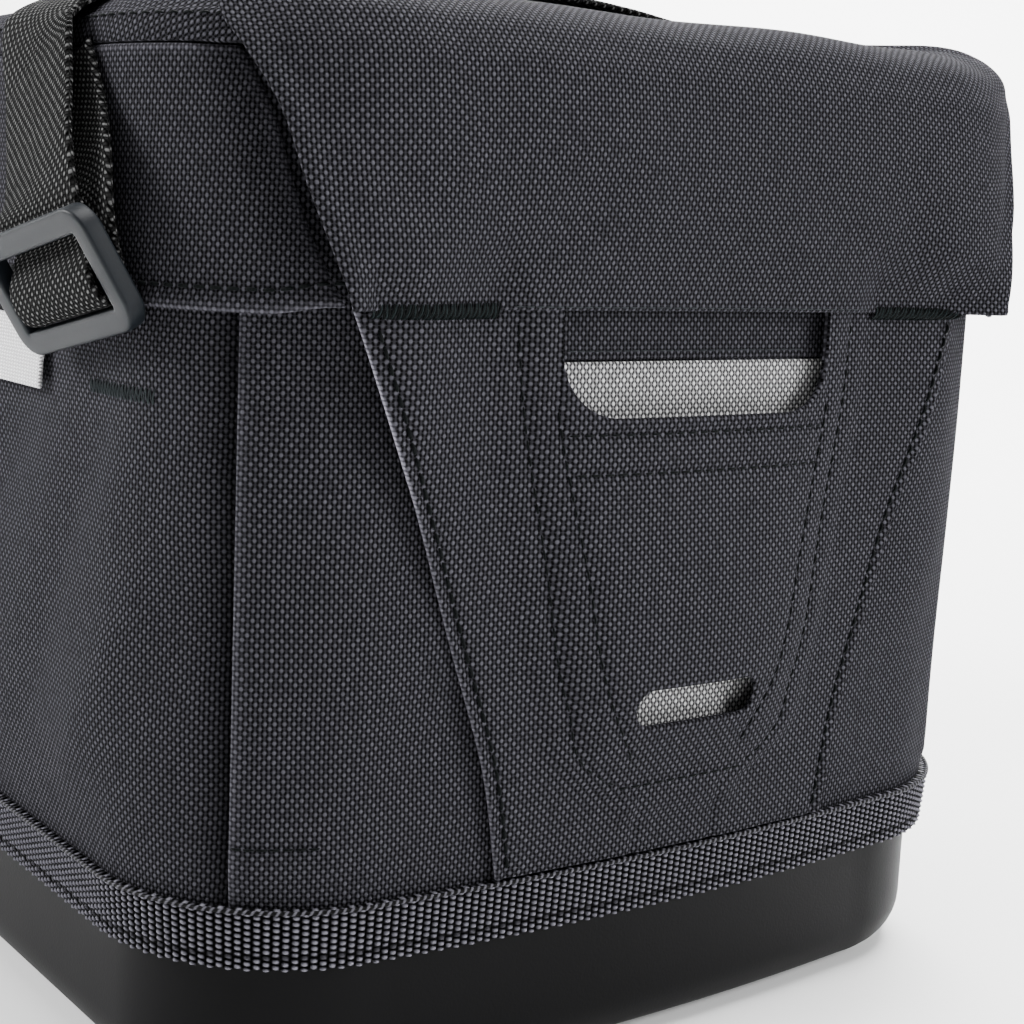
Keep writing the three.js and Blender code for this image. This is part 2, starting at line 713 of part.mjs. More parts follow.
addPiece("front_tape", frontTape(), "lining");
addPiece("strap_right", strap(), "webbing");
addPiece("strap_left", strap(), "webbing", MIRROR_X);
addPiece("slider_right", slider(), "plastic");
addPiece("slider_left", slider(), "plastic", MIRROR_X);

export default group;
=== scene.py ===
"""Soft tackle bag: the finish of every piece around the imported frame.

Shapes are worked out in millimetres, in the frame's axes, and turned into metres when a mesh is made.
Most surfaces take an arc length round the bag, from the middle of its right end, and a height.
"""
import math

import bpy
import numpy as np
from mathutils import Matrix


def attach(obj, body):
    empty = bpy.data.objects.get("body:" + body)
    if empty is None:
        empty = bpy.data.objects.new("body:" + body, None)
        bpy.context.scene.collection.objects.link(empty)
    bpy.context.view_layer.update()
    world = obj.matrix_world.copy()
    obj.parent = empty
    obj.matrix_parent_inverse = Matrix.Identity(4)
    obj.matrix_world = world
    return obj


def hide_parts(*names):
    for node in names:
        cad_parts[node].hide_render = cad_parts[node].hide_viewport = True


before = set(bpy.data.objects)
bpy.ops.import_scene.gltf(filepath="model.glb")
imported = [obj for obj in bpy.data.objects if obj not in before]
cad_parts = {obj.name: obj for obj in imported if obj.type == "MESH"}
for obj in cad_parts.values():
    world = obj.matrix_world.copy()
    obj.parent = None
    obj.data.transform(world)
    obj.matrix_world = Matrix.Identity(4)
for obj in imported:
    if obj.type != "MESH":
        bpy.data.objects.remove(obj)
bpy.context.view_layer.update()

MM = 0.001
PI = math.pi

# Mirrors that carry a piece to the bag's other sides
SAME = (1, 1, 1)
TO_LEFT = (-1, 1, 1)
TO_BACK = (1, -1, 1)
TO_LEFT_BACK = (-1, -1, 1)

# Body plan: a rounded rectangle
HALF_LENGTH = 188.0
HALF_DEPTH = 123.0
CORNER_RADIUS = 46.0
END_STRAIGHT = HALF_DEPTH - CORNER_RADIUS
CORNER_ARC = PI / 2 * CORNER_RADIUS
SIDE_STRAIGHT = 2 * (HALF_LENGTH - CORNER_RADIUS)
HALF_ROUND = 2 * END_STRAIGHT + 2 * CORNER_ARC + SIDE_STRAIGHT
SEAM_ALONG = END_STRAIGHT + CORNER_ARC / 2

# Clearance and cloth thicknesses
GAP = 0.4
BODY_WALL = 2.4
LID_CLOTH = 2.0
PANEL_CLOTH = 1.6
TAPE = 1.2
WEBBING = 1.6
LINING = 1.0

# Heights
BODY_BOTTOM = 38.4
BINDING_BOTTOM = 36.8
BINDING_TOP = 51.0
HEM = 180.0
LID_SEAM = 231.0
RIM = 236.8

# Moulded base
TRAY_INSET = BODY_WALL + GAP
TRAY_WALL = 3.0
TRAY_TOP = 47.0
TRAY_EDGE_RADIUS = 14.0

# Swell of the walls, bow of the base's ends, lid overhang
SIDE_SWELL = 5.0
END_SWELL = 1.5
END_BOW = 4.0
LID_OVERHANG_TOP = 4.5
LID_OVERHANG_SIDE = 4.5
LID_OVERHANG_END = 9.5
SKIRT_TUCK = {"z": [180, 190, 205, 231], "in": [-0.4, -1.2, -1.6, -1.6]}

# Lid's edge, by inset, and its crown inside that, by scale in plan
LID_DOME = {
    "inset": [0, 0.6, 3, 7, 13, 26, 44],
    "z": [231, 234.4, 238, 240.9, 242.6, 244.3, 245.6],
}
LID_EDGE_INSET = 44.0
LID_CROWN = {"scale": [0.33, 0.66, 1], "z": [248.2, 247.2, 245.6]}
DOME_FLAT_Z = 244.3

# End flaps: half width, and the middle line from the hem over the lid's edge
OVERLAY_WIDTH = {"z": [180, 205, 219, 230, 238, 246], "half": [92.5, 100.5, 104.8, 111, 116.5, 110]}
OVERLAY_LINE = {
    "row": [0, 1, 2, 3, 4, 5, 6, 7, 8, 9],
    "offset": [4.4, 6.4, 8.4, 8.8, 7.6, 5.8, 2.2, -7, -24, -38],
    "z": [179.4, 188, 202, 216, 229, 234.8, 239.6, 243.3, 245.2, 246.1],
}
OVERLAY_PRESSED = (56.0, 78.0)

# Tapering end panels
PANEL_BOTTOM = BINDING_TOP + GAP
PANEL_TOP = HEM + 5
PANEL_WIDTH = {"z": [50, 80, 100, 126, 150, 180], "half": [51, 57, 63.2, 72, 81.6, 91.8]}

# Tool pocket, its mouth and its slot
POCKET_WIDTH = {"z": [66, 74, 90, 120, 160, 180], "half": [14, 29, 36.5, 43, 51, 53]}
POCKET_INNER = {"z": [74, 90, 120, 150, 160], "half": [16, 25, 32.5, 40, 42]}
POCKET_BOTTOM = 66.0
POCKET_FULL = 96.0
POCKET_DEPTH = 6.0
POCKET_CREST = 3.2
LINING_TOP = 168.0
SEAT_WIDTH = 8.0
MOUTH_HALF = 41.0
MOUTH_BOTTOM = 156.0
MOUTH_RADIUS = 15.0
SLOT_HALF = 18.5
SLOT_RADIUS = 4.5
SLOT_Z = 88.5

# Light tape on the front
TAPE_HALF = 112.0
TAPE_BOTTOM = 156.0
TAPE_TOP = 172.0
TAPE_MIDDLE = 0.5 * (TAPE_BOTTOM + TAPE_TOP)

# Straps and sliders
STRAP_X = 119.0
STRAP_LEAN = math.radians(25)
STRAP_WIDTH = 38.0
STRAP_ARCH = 4.5
STRAP_ARCH_HALF = 58.0
STRAP_TURN_Z = 237.0
STRAP_SEWN_Z = 224.0
STRAP_BACK_Z = 190.0
SLIDER_WIDTH = 51.0
SLIDER_HEIGHT = 27.5
SLIDER_BAR = 5.4
SLIDER_THICK = 4.5
SLIDER_CORNER = 6.0
SLIDER_CENTRE = (142.0, -HALF_DEPTH - 11.7, 181.5)
SLIDER_TILT = math.radians(26)
SLIDER_ROLL = math.radians(13)
SLIDER_YAW = math.radians(9)
MIDDLE_BAR = {"h": -4.0, "n": -0.4, "height": 3.2, "thick": 2.4}

# Webbing's way from its sewn end, round the slider's middle bar, up and over the lid
WEBBING_DOWN = {"out": [5.7, 5.9, 7.6], "z": [STRAP_SEWN_Z, 213, 203], "aside": [1.4, 3.8, 6.2]}
WEBBING_SLIDER = {
    "h": [9.5, 4, -4, -7, -6.8, -4, 1, 4.7, 8, 14.5],
    "n": [-6, -4.8, -3.6, -2, 1.2, 2.6, 1.9, -1.2, -3.8, -3.7],
    "aside": [6.4, 4.4, 1.6, 0.4, 0, 0, 0, 0, 0, 0],
}
WEBBING_UP = {"out": [13.2, 11.5, 9.2, 6.8], "z": [205, 213, 226, STRAP_TURN_Z]}
WEBBING_OVER = {
    "y": [0, 20, 40, 62, 90, 112, 123],
    "clear": [0.9, 0.9, 0.9, 0.9, 0.9, 0.9, 1.6],
}


# Curves and tables


def smooth_curve(knots, values, at):
    """Values on a smooth curve through rows at rising knots, constant past both ends."""
    knots = np.asarray(knots, float)
    values = np.asarray(values, float)
    slopes = np.gradient(values, knots, axis=0)
    at = np.clip(np.asarray(at, float), knots[0], knots[-1])
    i = np.clip(np.searchsorted(knots, at) - 1, 0, len(knots) - 2)
    width = knots[i + 1] - knots[i]
    t = (at - knots[i]) / width
    if values.ndim > 1:
        width = width[..., None]
        t = t[..., None]
    start = (1 + 2 * t) * (1 - t) ** 2 * values[i] + t * (1 - t) ** 2 * width * slopes[i]
    end = t * t * (3 - 2 * t) * values[i + 1] + t * t * (t - 1) * width * slopes[i + 1]
    return start + end


def look_up(table, key, column, at):
    return smooth_curve(table[key], table[column], at)


def smoothstep(value, low, high):
    t = np.clip((value - low) / (high - low), 0, 1)
    return t * t * (3 - 2 * t)


def bell(value, centre, width):
    return np.exp(-(((value - centre) / width) ** 2))


def ridges(at, rows):
    """Sum of soft ridges, each with its height, place and width."""
    return sum(height * bell(at, centre, width) for height, centre, width in rows)


def ripples(a, z, waves):
    """Sum of soft waves, each with its length, direction, height and phase."""
    total = 0.0
    for length, degrees, height, phase in waves:
        turn = math.radians(degrees)
        along = a * math.cos(turn) + z * math.sin(turn)
        total = total + height * np.sin(2 * PI * along / length + phase)
    return total


def crease(a, z, start, end, width, depth):
    """A soft fold along a line, deepest in its middle."""
    start = np.asarray(start, float)
    way = np.asarray(end, float) - start
    length = np.hypot(*way)
    way = way / length
    along = (a - start[0]) * way[0] + (z - start[1]) * way[1]
    aside = (a - start[0]) * -way[1] + (z - start[1]) * way[0]
    return depth * np.sin(PI * np.clip(along / length, 0, 1)) * bell(aside, 0, width)


def unit(vectors):
    return vectors / np.linalg.norm(vectors, axis=-1, keepdims=True)


def stacked(*parts):
    """Coordinates of one grid, from arrays that may each lack an axis."""
    return np.stack(np.broadcast_arrays(*parts), axis=-1)


def outline(along, offset):
    """Plan point at an arc length from the middle of the right end, positive towards the back."""
    along = np.asarray(along, float)
    run = np.abs(along)
    first = np.clip(run - END_STRAIGHT, 0, CORNER_ARC)
    side = np.clip(run - END_STRAIGHT - CORNER_ARC, 0, SIDE_STRAIGHT)
    second = np.clip(run - END_STRAIGHT - CORNER_ARC - SIDE_STRAIGHT, 0, CORNER_ARC)
    last = np.maximum(run - END_STRAIGHT - 2 * CORNER_ARC - SIDE_STRAIGHT, 0)
    angle = (first + second) / CORNER_RADIUS
    reach = CORNER_RADIUS + offset
    x = HALF_LENGTH - CORNER_RADIUS - side + reach * np.cos(angle)
    y = np.minimum(run, END_STRAIGHT) - last + reach * np.sin(angle)
    return x, np.where(along < 0, -y, y)


def wrapped(along, offset, z):
    """Points on the body's outline, moved out by an offset, at a height."""
    return stacked(*outline(along, offset), z)


def front_along(x):
    return -(END_STRAIGHT + CORNER_ARC + HALF_LENGTH - CORNER_RADIUS - x)


def from_end(along):
    """Arc length from the middle of the nearer end."""
    return np.minimum(np.abs(along), HALF_ROUND - np.abs(along))


def bow(along):
    return END_BOW * (1 - np.clip(from_end(along) / END_STRAIGHT, 0, 1) ** 2)


def swell(along, z):
    """Outward swell of the walls between their seams."""
    rise = np.clip((z - BINDING_TOP) / (HEM - BINDING_TOP), 0, 1)
    upright = np.sin(PI * rise**0.8)
    run = from_end(along)
    end = END_SWELL * upright * np.cos(PI / 2 * np.clip(run / SEAM_ALONG, 0, 1))
    end = end + bow(along) * (1 - smoothstep(z, BINDING_TOP, HEM))
    share = np.clip((np.abs(along) - SEAM_ALONG) / (HALF_ROUND - 2 * SEAM_ALONG), 0, 1)
    side = SIDE_SWELL * upright * np.sin(PI * share) ** 0.6
    return np.where(run < SEAM_ALONG, end, side)


def overhang(along, z):
    """How far the lid hangs out from the body."""
    end = smoothstep(from_end(along), SEAM_ALONG, SEAM_ALONG + CORNER_ARC / 2)
    hem = LID_OVERHANG_END + (LID_OVERHANG_SIDE - LID_OVERHANG_END) * end
    share = np.clip((z - HEM) / (LID_SEAM - HEM), 0, 1)
    return hem + (LID_OVERHANG_TOP - hem) * share


# Meshes

# How far a cloth's edge is rolled in, and how a grid of points closes: not, round its rows, or both ways
ROLL = 0.85
OPEN = (0, 0)
TUBE = (0, 1)
RING = (1, 1)


def stations(low, high, step, fine=(0.0, 0.15, 0.4, 0.8, 1.4, 2.4)):
    """Positions from low to high, closer together at both edges."""
    fine = np.asarray(fine)
    inner = np.linspace(low + fine[-1], high - fine[-1], max(2, int((high - low) / step)))
    return np.concatenate([low + fine[:-1], inner, (high - fine[:-1])[::-1]])


def loop_stations(end, corner, side):
    """Arc lengths once round the outline, with the counts for its straights and corners."""
    stretches = (END_STRAIGHT, CORNER_ARC, SIDE_STRAIGHT, CORNER_ARC, END_STRAIGHT)
    half = []
    start = 0.0
    for stretch, count in zip(stretches, (end, corner, side, corner, end)):
        half.append(start + np.linspace(0, stretch, count, endpoint=False))
        start += stretch
    half = np.concatenate([*half, [HALF_ROUND]])
    return np.concatenate([half, -half[-2:0:-1]])


def add_object(name, data):
    made = bpy.data.objects.new(name, data)
    bpy.context.scene.collection.objects.link(made)
    return made


def make_mesh(name, points, faces, material, weave=None, edge=None):
    """Object from points in millimetres, with cloth coordinates and, where given, an edge value that the
    materials turn into painted light and shade.
    """
    mesh = bpy.data.meshes.new(name)
    mesh.from_pydata((np.asarray(points) * MM).tolist(), [], [list(map(int, face)) for face in faces])
    mesh.polygons.foreach_set("use_smooth", np.ones(len(mesh.polygons), bool))
    if weave is not None:
        corners = np.empty(len(mesh.loops), np.int32)
        mesh.loops.foreach_get("vertex_index", corners)
        layer = mesh.uv_layers.new(name="weave")
        layer.data.foreach_set("uv", (np.asarray(weave)[corners] * MM).astype(np.float32).ravel())
    if edge is not None:
        painted_shading = mesh.attributes.new("edge", "FLOAT", "POINT")
        painted_shading.data.foreach_set("value", np.asarray(edge, np.float32))
    mesh.materials.append(material)
    return add_object(name, mesh)


def normals_of(grid, joined=False):
    """Outward normals of a grid of points whose columns run along the bag and whose rows run up."""
    if joined:
        padded = np.pad(grid, ((0, 0), (1, 1), (0, 0)), mode="wrap")
        across = (padded[:, 2:] - padded[:, :-2]) / 2
    else:
        across = np.gradient(grid, axis=1)
    normal = np.cross(across, np.gradient(grid, axis=0))
    return normal / np.maximum(np.linalg.norm(normal, axis=-1, keepdims=True), 1e-9)


def lengths(grid, axis):
    """Running length along a grid's rows or columns."""
    steps = np.linalg.norm(np.diff(grid, axis=axis), axis=-1)
    zero = np.zeros_like(np.take(steps, [0], axis=axis))
    return np.concatenate([zero, np.cumsum(steps, axis=axis)], axis=axis)


def edge_distance(grid):
    """Distance of each point of a grid from the sheet's nearest edge."""
    across = lengths(grid, 1)
    up = lengths(grid, 0)
    nearest = np.minimum(across, across[:, -1:] - across)
    return np.minimum(nearest, np.minimum(up, up[-1:] - up))


def sheet_area(grid):
    """Area of a grid's surface, in square metres."""
    up = grid[1:, :-1] - grid[:-1, :-1]
    across = grid[:-1, 1:] - grid[:-1, :-1]
    return np.linalg.norm(np.cross(up, across), axis=-1).sum() * MM * MM


def index_faces(index):
    quads = np.stack([index[:-1, :-1], index[:-1, 1:], index[1:, 1:], index[1:, :-1]], axis=-1)
    return quads.reshape(-1, 4)


def grid_faces(rows, columns, closed=OPEN, start=0):
    """Faces of a grid of points that may close on itself."""
    index = start + np.arange(rows * columns).reshape(rows, columns)
    return index_faces(np.pad(index, ((0, closed[0]), (0, closed[1])), mode="wrap"))


def cap_faces(columns, start, turn=False):
    """Strips across a closed row of points."""
    faces = []
    for i in range(columns // 2):
        corners = [start + i, start + i + 1, start + columns - i - 1, start + (columns - i) % columns]
        corners = list(dict.fromkeys(corners))
        faces.append(corners[::-1] if turn else corners)
    return faces


def close_slab(faces, count):
    """Faces of a closed sheet: outer faces, their turned copies, and a rim along every open edge."""
    edges = np.concatenate([np.stack([faces[:, k], faces[:, (k + 1) % 4]], axis=-1) for k in range(4)])
    _, first, uses = np.unique(np.sort(edges, axis=1), axis=0, return_index=True, return_counts=True)
    start, end = edges[first[uses == 1]].T
    rim = np.stack([end, start, start + count, end + count], axis=-1)
    return np.concatenate([faces, faces[:, ::-1] + count, rim])


def rings(along, rows, out=0.0):
    """Rows of points round the bag, from each row's offset, height and scale in plan."""
    return np.array([wrapped(along, offset + out, z) * (scale, scale, 1.0) for offset, z, scale in rows])


def rolled_sheet(grid, away, thickness):
    """Outer and inner points of a sheet that is rolled in near its edges."""
    normal = normals_of(grid)
    radius = thickness / 2
    turn = 1 - np.clip(away / radius, 0, 1)
    sink = ROLL * radius * (1 - np.sqrt(np.maximum(1 - turn**2, 0)))[..., None]
    outer = grid - normal * sink
    inner = grid - normal * (thickness - sink)
    return outer.reshape(-1, 3), inner.reshape(-1, 3)


def cloth(name, grid, thickness, material, weave, mirror=SAME, fold=0.0, reach=0.7):
    """Sheet of cloth with rolled edges, painted lighter there (a painted highlight) or, with fold below 0,
    darker (painted shade): grid is its outer surface.
    """
    rows, columns = grid.shape[:2]
    away = edge_distance(grid)
    points = np.concatenate(rolled_sheet(grid, away, thickness)) * np.asarray(mirror, float)
    faces = close_slab(grid_faces(rows, columns), rows * columns)
    if np.prod(mirror) < 0:
        faces = faces[:, ::-1]
    flat = weave.reshape(-1, 2)
    flat = np.concatenate([flat, flat + thickness])
    # Edge value for the material: a painted highlight where fold is above 0, painted shade where it is below
    # 0
    painted_shading = np.tile(fold * bell(away, 0, reach).ravel(), 2)
    made = make_mesh(name, points, faces, material, flat, painted_shading)
    made["cloth_area"] = float(sheet_area(grid))
    return made


def place(piece, node, slot, **sheet):
    """Puts a piece on the bag in place of a node, which it hides."""
    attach(piece, "root")
    if node:
        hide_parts(node)


def place_cloth(piece, node, slot, flat, held, rests_on):
    """Places a sheet, passing on the area of its modelled surface, or its flat size where that is less."""
    area = min(piece["cloth_area"], flat[0] * flat[1])
    place(piece, node, slot, flat=flat, held=held, rests_on=rests_on, area=area)


# Materials

CHARCOAL = (0.98, 0.955, 1.13)
WHITE = (1.0, 0.99, 1.01)
NEUTRAL = (1.0, 1.0, 1.0)
PLAIN_WEAVE = {"gap": (0.5, 1.0), "bridge": (0.85, 1.05), "float": (-0.1, 0.95)}
RIBBED_WEAVE = {"gap": (0.1, 0.8), "bridge": (0.9, 1.6), "float": (0.15, 1.0)}
THREAD_PITCH = (1.0, 1.06)

# Binding tape's beads, and the groove that its stitches pull
BEAD_ACROSS = 2.0
BEAD_UP = 1.45
BEAD_LEAN = 0.18
GROOVE_Z = BINDING_BOTTOM + 3.2


class Field(np.lib.mixins.NDArrayOperatorsMixin):
    """A value in a material's nodes that takes ordinary arithmetic, as an array does."""

    operations = {
        np.add: "ADD",
        np.subtract: "SUBTRACT",
        np.multiply: "MULTIPLY",
        np.divide: "DIVIDE",
        np.power: "POWER",
        np.maximum: "MAXIMUM",
        np.absolute: "ABSOLUTE",
        np.floor: "FLOOR",
        np.sign: "SIGN",
        np.sin: "SINE",
        np.cos: "COSINE",
    }

    def __init__(self, graph, socket):
        self.graph = graph
        self.socket = socket

    def __array_ufunc__(self, function, method, *values):
        inputs = dict(enumerate(values))
        return self.graph.add("ShaderNodeMath", 0, inputs, operation=self.operations[function])


class Graph:
    """A material's nodes, with short ways to add and join them."""

    def __init__(self, name):
        self.material = bpy.data.materials.new(name)
        self.material.use_nodes = True
        self.tree = self.material.node_tree

    def add(self, kind, output, inputs, **settings):
        """New node with its settings and inputs, as the value of one of its outputs."""
        node = self.tree.nodes.new(kind)
        for key, value in settings.items():
            setattr(node, key, value)
        for key, value in inputs.items():
            self.feed(node.inputs[key], value)
        return Field(self, node.outputs[output])

    def feed(self, socket, value):
        if isinstance(value, Field):
            self.tree.links.new(value.socket, socket)
        else:
            socket.default_value = value

    def spread(self, value, low, high):
        inputs = {0: value, 1: low, 2: high}
        return self.add("ShaderNodeMapRange", 0, inputs, interpolation_type="SMOOTHSTEP")

    def mix(self, share, low, high):
        return self.add("ShaderNodeMix", 2, {0: share, 6: low, 7: high}, data_type="RGBA")

    def noise(self, scale, detail=2.0):
        spot = self.add("ShaderNodeTexCoord", "Object", {})
        return self.add("ShaderNodeTexNoise", "Fac", {"Vector": spot, "Scale": scale, "Detail": detail})

    def edge(self):
        return self.add("ShaderNodeAttribute", "Fac", {}, attribute_name="edge")

    def cloth_axes(self):
        """The cloth's own two directions, in metres."""
        flat = self.add("ShaderNodeUVMap", "UV", {}, uv_map="weave")
        return [self.add("ShaderNodeSeparateXYZ", axis, {0: flat}) for axis in ("X", "Y")]

    def finish(self, colour, height, depth, roughness, specular):
        """Feeds the shader, with a relief of some depth in metres."""
        relief = {"Height": height, "Distance": depth, "Strength": 1.0}
        shader = self.tree.nodes["Principled BSDF"].inputs
        self.feed(shader["Base Color"], colour)
        self.feed(shader["Normal"], self.add("ShaderNodeBump", "Normal", relief))
        self.feed(shader["Roughness"], roughness)
        self.feed(shader["Specular IOR Level"], specular)
        return self.material


def grey(level, tint=NEUTRAL):
    return (level * tint[0], level * tint[1], level * tint[2], 1.0)


def woven(name, pitch, shades, tint, weave=PLAIN_WEAVE, skew=0.0, depth=0.3, fold=None, chevron=None):
    """Plain weave: threads both ways with holes between them painted near black as painted shade, and a
    painted highlight where an upright thread floats.
    """
    light, middle, dark = (grey(shade, tint) for shade in shades)
    graph = Graph(name)
    x, y = graph.cloth_axes()
    x = x + (graph.noise(110.0) - 0.5) * (0.5 * pitch[0] * MM)
    if skew:
        lean = y if chevron is None else np.abs(y - chevron * MM)
        x = x + lean * skew
    across = np.sin(x * (PI / (pitch[0] * MM)))
    up = np.sin(y * (PI / (pitch[1] * MM)))
    warp = np.abs(across)
    weft = np.abs(up)
    # Painted shade: holes between the threads take the dark shade; painted highlight: floats of the upright
    # threads take the light shade, brighter or dimmer at random
    solid = np.maximum(graph.spread(warp, *weave["gap"]), graph.spread(weft, *weave["bridge"]))
    shine = graph.spread(across * up, *weave["float"]) * (graph.noise(520.0, 1.0) * 1.8 + 0.1)
    colour = graph.mix(shine, graph.mix(solid, dark, middle), light)
    # Painted highlight along folded edges where the edge value is above 0, painted shade towards the dark
    # shade where it is below 0
    if fold is not None:
        edge = graph.edge()
        ribs = graph.spread(weft, 0.2, 0.9) * 0.6 + 0.4
        colour = graph.mix(edge * ribs, colour, grey(fold, tint))
        colour = graph.mix(edge * -1.0, colour, dark)
    waves = up * np.sign(across) * 0.35
    height = np.maximum(warp**0.7 * (0.65 + waves), weft**0.7 * (0.55 - waves))
    return graph.finish(colour, height + graph.noise(1600.0) * 0.3, depth * MM, 0.8, 0.02)


def beads(column, height):
    """Height of a tape's beads, 0 to 1: columns of leaning beads, each column half a bead off the next."""
    index = np.floor(column + 0.5)
    local = column - index
    run = height + (index * 0.5 + local * BEAD_LEAN)
    return (np.cos(local * PI) * np.abs(np.cos(run * PI))) ** 0.75


def knitted(name, light, dark):
    """Coarse tape: rows of beads, painted light on top and near black between them as painted shade, and
    darker in the stitch groove, also painted shade.
    """
    graph = Graph(name)
    x, y = graph.cloth_axes()
    raised = beads(x / (BEAD_ACROSS * MM), y / (BEAD_UP * MM))
    strand = graph.noise(1500.0)
    # Painted shade in the stitch groove
    groove = graph.spread(np.abs(y - GROOVE_Z * MM), 0.1 * MM, 0.9 * MM)
    uneven_and_groove_shade = (strand * 0.6 + 0.7) * (groove * 0.75 + 0.25)
    share = graph.spread(raised, 0.35, 0.95) * uneven_and_groove_shade
    colour = graph.mix(share, grey(dark, CHARCOAL), grey(light, CHARCOAL))
    return graph.finish(colour, raised + strand * 0.12, 0.9 * MM, 0.6, 0.06)


def beaded(name, light, dark):
    """Thick yarn: painted light on its raised strands and near black between them as painted shade."""
    graph = Graph(name)
    strand = graph.noise(1500.0)
    share = graph.spread(graph.edge(), 0.4, 1.0) * (strand * 0.5 + 0.75)
    colour = graph.mix(share, grey(dark, CHARCOAL), grey(light, CHARCOAL))
    return graph.finish(colour, strand, 0.12 * MM, 0.6, 0.08)


def moulded(name, low, high, grain, depth, shine, tint):
    """Moulded foam or plastic with a fine grain."""
    graph = Graph(name)
    fine = graph.noise(grain, 3.0)
    broad = graph.noise(24.0)
    colour = graph.mix(graph.spread(broad, 0.3, 0.7), grey(low, tint), grey(high, tint))
    colour = graph.mix(graph.spread(fine, 0.55, 0.8), colour, grey(high * 1.35, tint))
    return graph.finish(colour, fine, depth * MM, broad * 0.12 + 0.44, shine)


def thread(name, level, tint):
    """Twisted sewing thread."""
    graph = Graph(name)
    strand = graph.noise(900.0)
    colour = graph.mix(strand, grey(level * 0.5, tint), grey(level * 1.5, tint))
    return graph.finish(colour, strand, 0.1 * MM, 0.6, 0.04)


def paper(name, low, high):
    graph = Graph(name)
    soft = graph.noise(6.0)
    return graph.finish(graph.mix(soft, grey(low), grey(high)), soft, 0.1 * MM, 0.9, 0.1)


# fold is the colour of the painted highlight on folded edges
body_cloth = woven("body_cloth", THREAD_PITCH, (0.054, 0.0165, 0.0003), CHARCOAL, fold=0.36)
lining_cloth = woven("lining_cloth", THREAD_PITCH, (0.62, 0.16, 0.006), WHITE)
tape_cloth = woven(
    "light_tape", (0.8, 0.8), (0.86, 0.66, 0.26), WHITE, skew=1.0, depth=0.25, chevron=TAPE_MIDDLE
)
webbing_cloth = woven("webbing_yarn", (1.2, 0.95), (0.1, 0.008, 0.0001), NEUTRAL, RIBBED_WEAVE, 0.45, 0.6)
binding_beads = knitted("binding_beads", 0.135, 0.0002)
binding_yarn = beaded("binding_yarn", 0.07, 0.0003)
base_foam = moulded("base_foam", 0.001, 0.0015, 1500.0, 0.05, 0.06, CHARCOAL)
slider_plastic = moulded("slider_plastic", 0.0046, 0.0058, 2200.0, 0.015, 0.14, (0.72, 1.0, 1.36))
dark_thread = thread("dark_thread", 0.0035, (0.8, 1.0, 1.05))
# One tack thread in two copies: darker beneath as painted shade, lighter on top as a painted highlight
tack_thread = thread("tack_thread", 0.002, (0.7, 1.0, 1.05))
tack_top_thread = thread("tack_top_thread", 0.012, (0.7, 1.0, 1.05))
wall_thread = thread("wall_thread", 0.024, (0.82, 1.0, 1.06))
hem_thread = thread("hem_thread", 0.022, (0.9, 1.0, 1.1))
studio_paper = paper("studio_paper", 0.86, 0.9)


# Moulded base

TRAY_FLOOR_SCALES = (0.97, 0.9, 0.75, 0.5)


def tray_profile(inset, floor, radius):
    """Offset, height and scale of the rows of one side of the tray, from its rim to its floor."""
    rows = [(-inset, z, 1.0) for z in np.linspace(TRAY_TOP, floor + radius, 7)]
    for angle in np.linspace(0, PI / 2, 11)[1:]:
        rows.append((-inset - radius * (1 - math.cos(angle)), floor + radius * (1 - math.sin(angle)), 1.0))
    return rows + [(-inset - radius, floor, scale) for scale in TRAY_FLOOR_SCALES]


def moulded_base():
    along = loop_stations(14, 22, 40)
    outside = tray_profile(TRAY_INSET, 0.0, TRAY_EDGE_RADIUS)
    inside = tray_profile(TRAY_INSET + TRAY_WALL, TRAY_WALL, TRAY_EDGE_RADIUS - TRAY_WALL)
    grid = rings(along, outside[::-1] + inside, bow(along))
    rows, columns = grid.shape[:2]
    faces = grid_faces(rows, columns, TUBE).tolist()
    faces += cap_faces(columns, 0, True)
    faces += cap_faces(columns, (rows - 1) * columns)
    piece = make_mesh("moulded_base", grid.reshape(-1, 3), faces, base_foam)
    place(piece, "base_tray", "base")


moulded_base()


# Binding tape over the base's seam: columns of beads under a rope-like edge

BEAD_HEIGHT = 0.9
BINDING_FOOT = 1.4
BINDING_HEAD = 2.6
BINDING_ROWS = 36
GROOVE_WIDTH = 0.7
GROOVE_BEADS = 2.7
ROPE_Z = BINDING_TOP - 0.6
ROPE_RADIUS = 0.58
ROPE_LAY = 1.7
ROPE_SIDES = 8

# Share of the tape's flat area in its modelled surface
BINDING_SHARE = 0.62


def binding_offset(z):
    """The tape's outer face, a little further out over the cloth than at the tray."""
    share = (z - BINDING_BOTTOM) / (BINDING_TOP - BINDING_BOTTOM)
    return BINDING_FOOT + (BINDING_HEAD - BINDING_FOOT) * share


def once_round(step):
    """Arc lengths once round from the left end, four to a step, and the running length in whole steps."""
    count = 8 * int(round(HALF_ROUND / step))
    along = np.linspace(-HALF_ROUND, HALF_ROUND, count, endpoint=False)
    return along, np.arange(count) * step / 4


def binding_tape():
    along, run = once_round(BEAD_ACROSS)
    column = run / BEAD_ACROSS
    up = np.linspace(BINDING_BOTTOM + 0.1, ROPE_Z, BINDING_ROWS)[:, None]
    groove = bell(up, GROOVE_Z, GROOVE_WIDTH) * (0.55 + 0.45 * np.sin(2 * PI * column / GROOVE_BEADS))
    raised = beads(column, up / BEAD_UP) * (1 - 0.75 * groove)
    outer = wrapped(along, binding_offset(up) + BEAD_HEIGHT * (raised - 0.75) + bow(along), up)
    foot = -TRAY_INSET + GAP
    rest = GAP / 2
    seam = BODY_BOTTOM - GAP
    back = ((rest, BINDING_TOP - GAP), (rest, seam), (foot, seam), (foot, BINDING_BOTTOM + GAP))
    grid = np.concatenate([outer, [wrapped(along, inset + bow(along), z) for inset, z in back]])
    weave = stacked(run, grid[..., 2]).reshape(-1, 2)
    faces = grid_faces(*grid.shape[:2], RING)
    return make_mesh("binding_tape", grid.reshape(-1, 3), faces, binding_beads, weave)


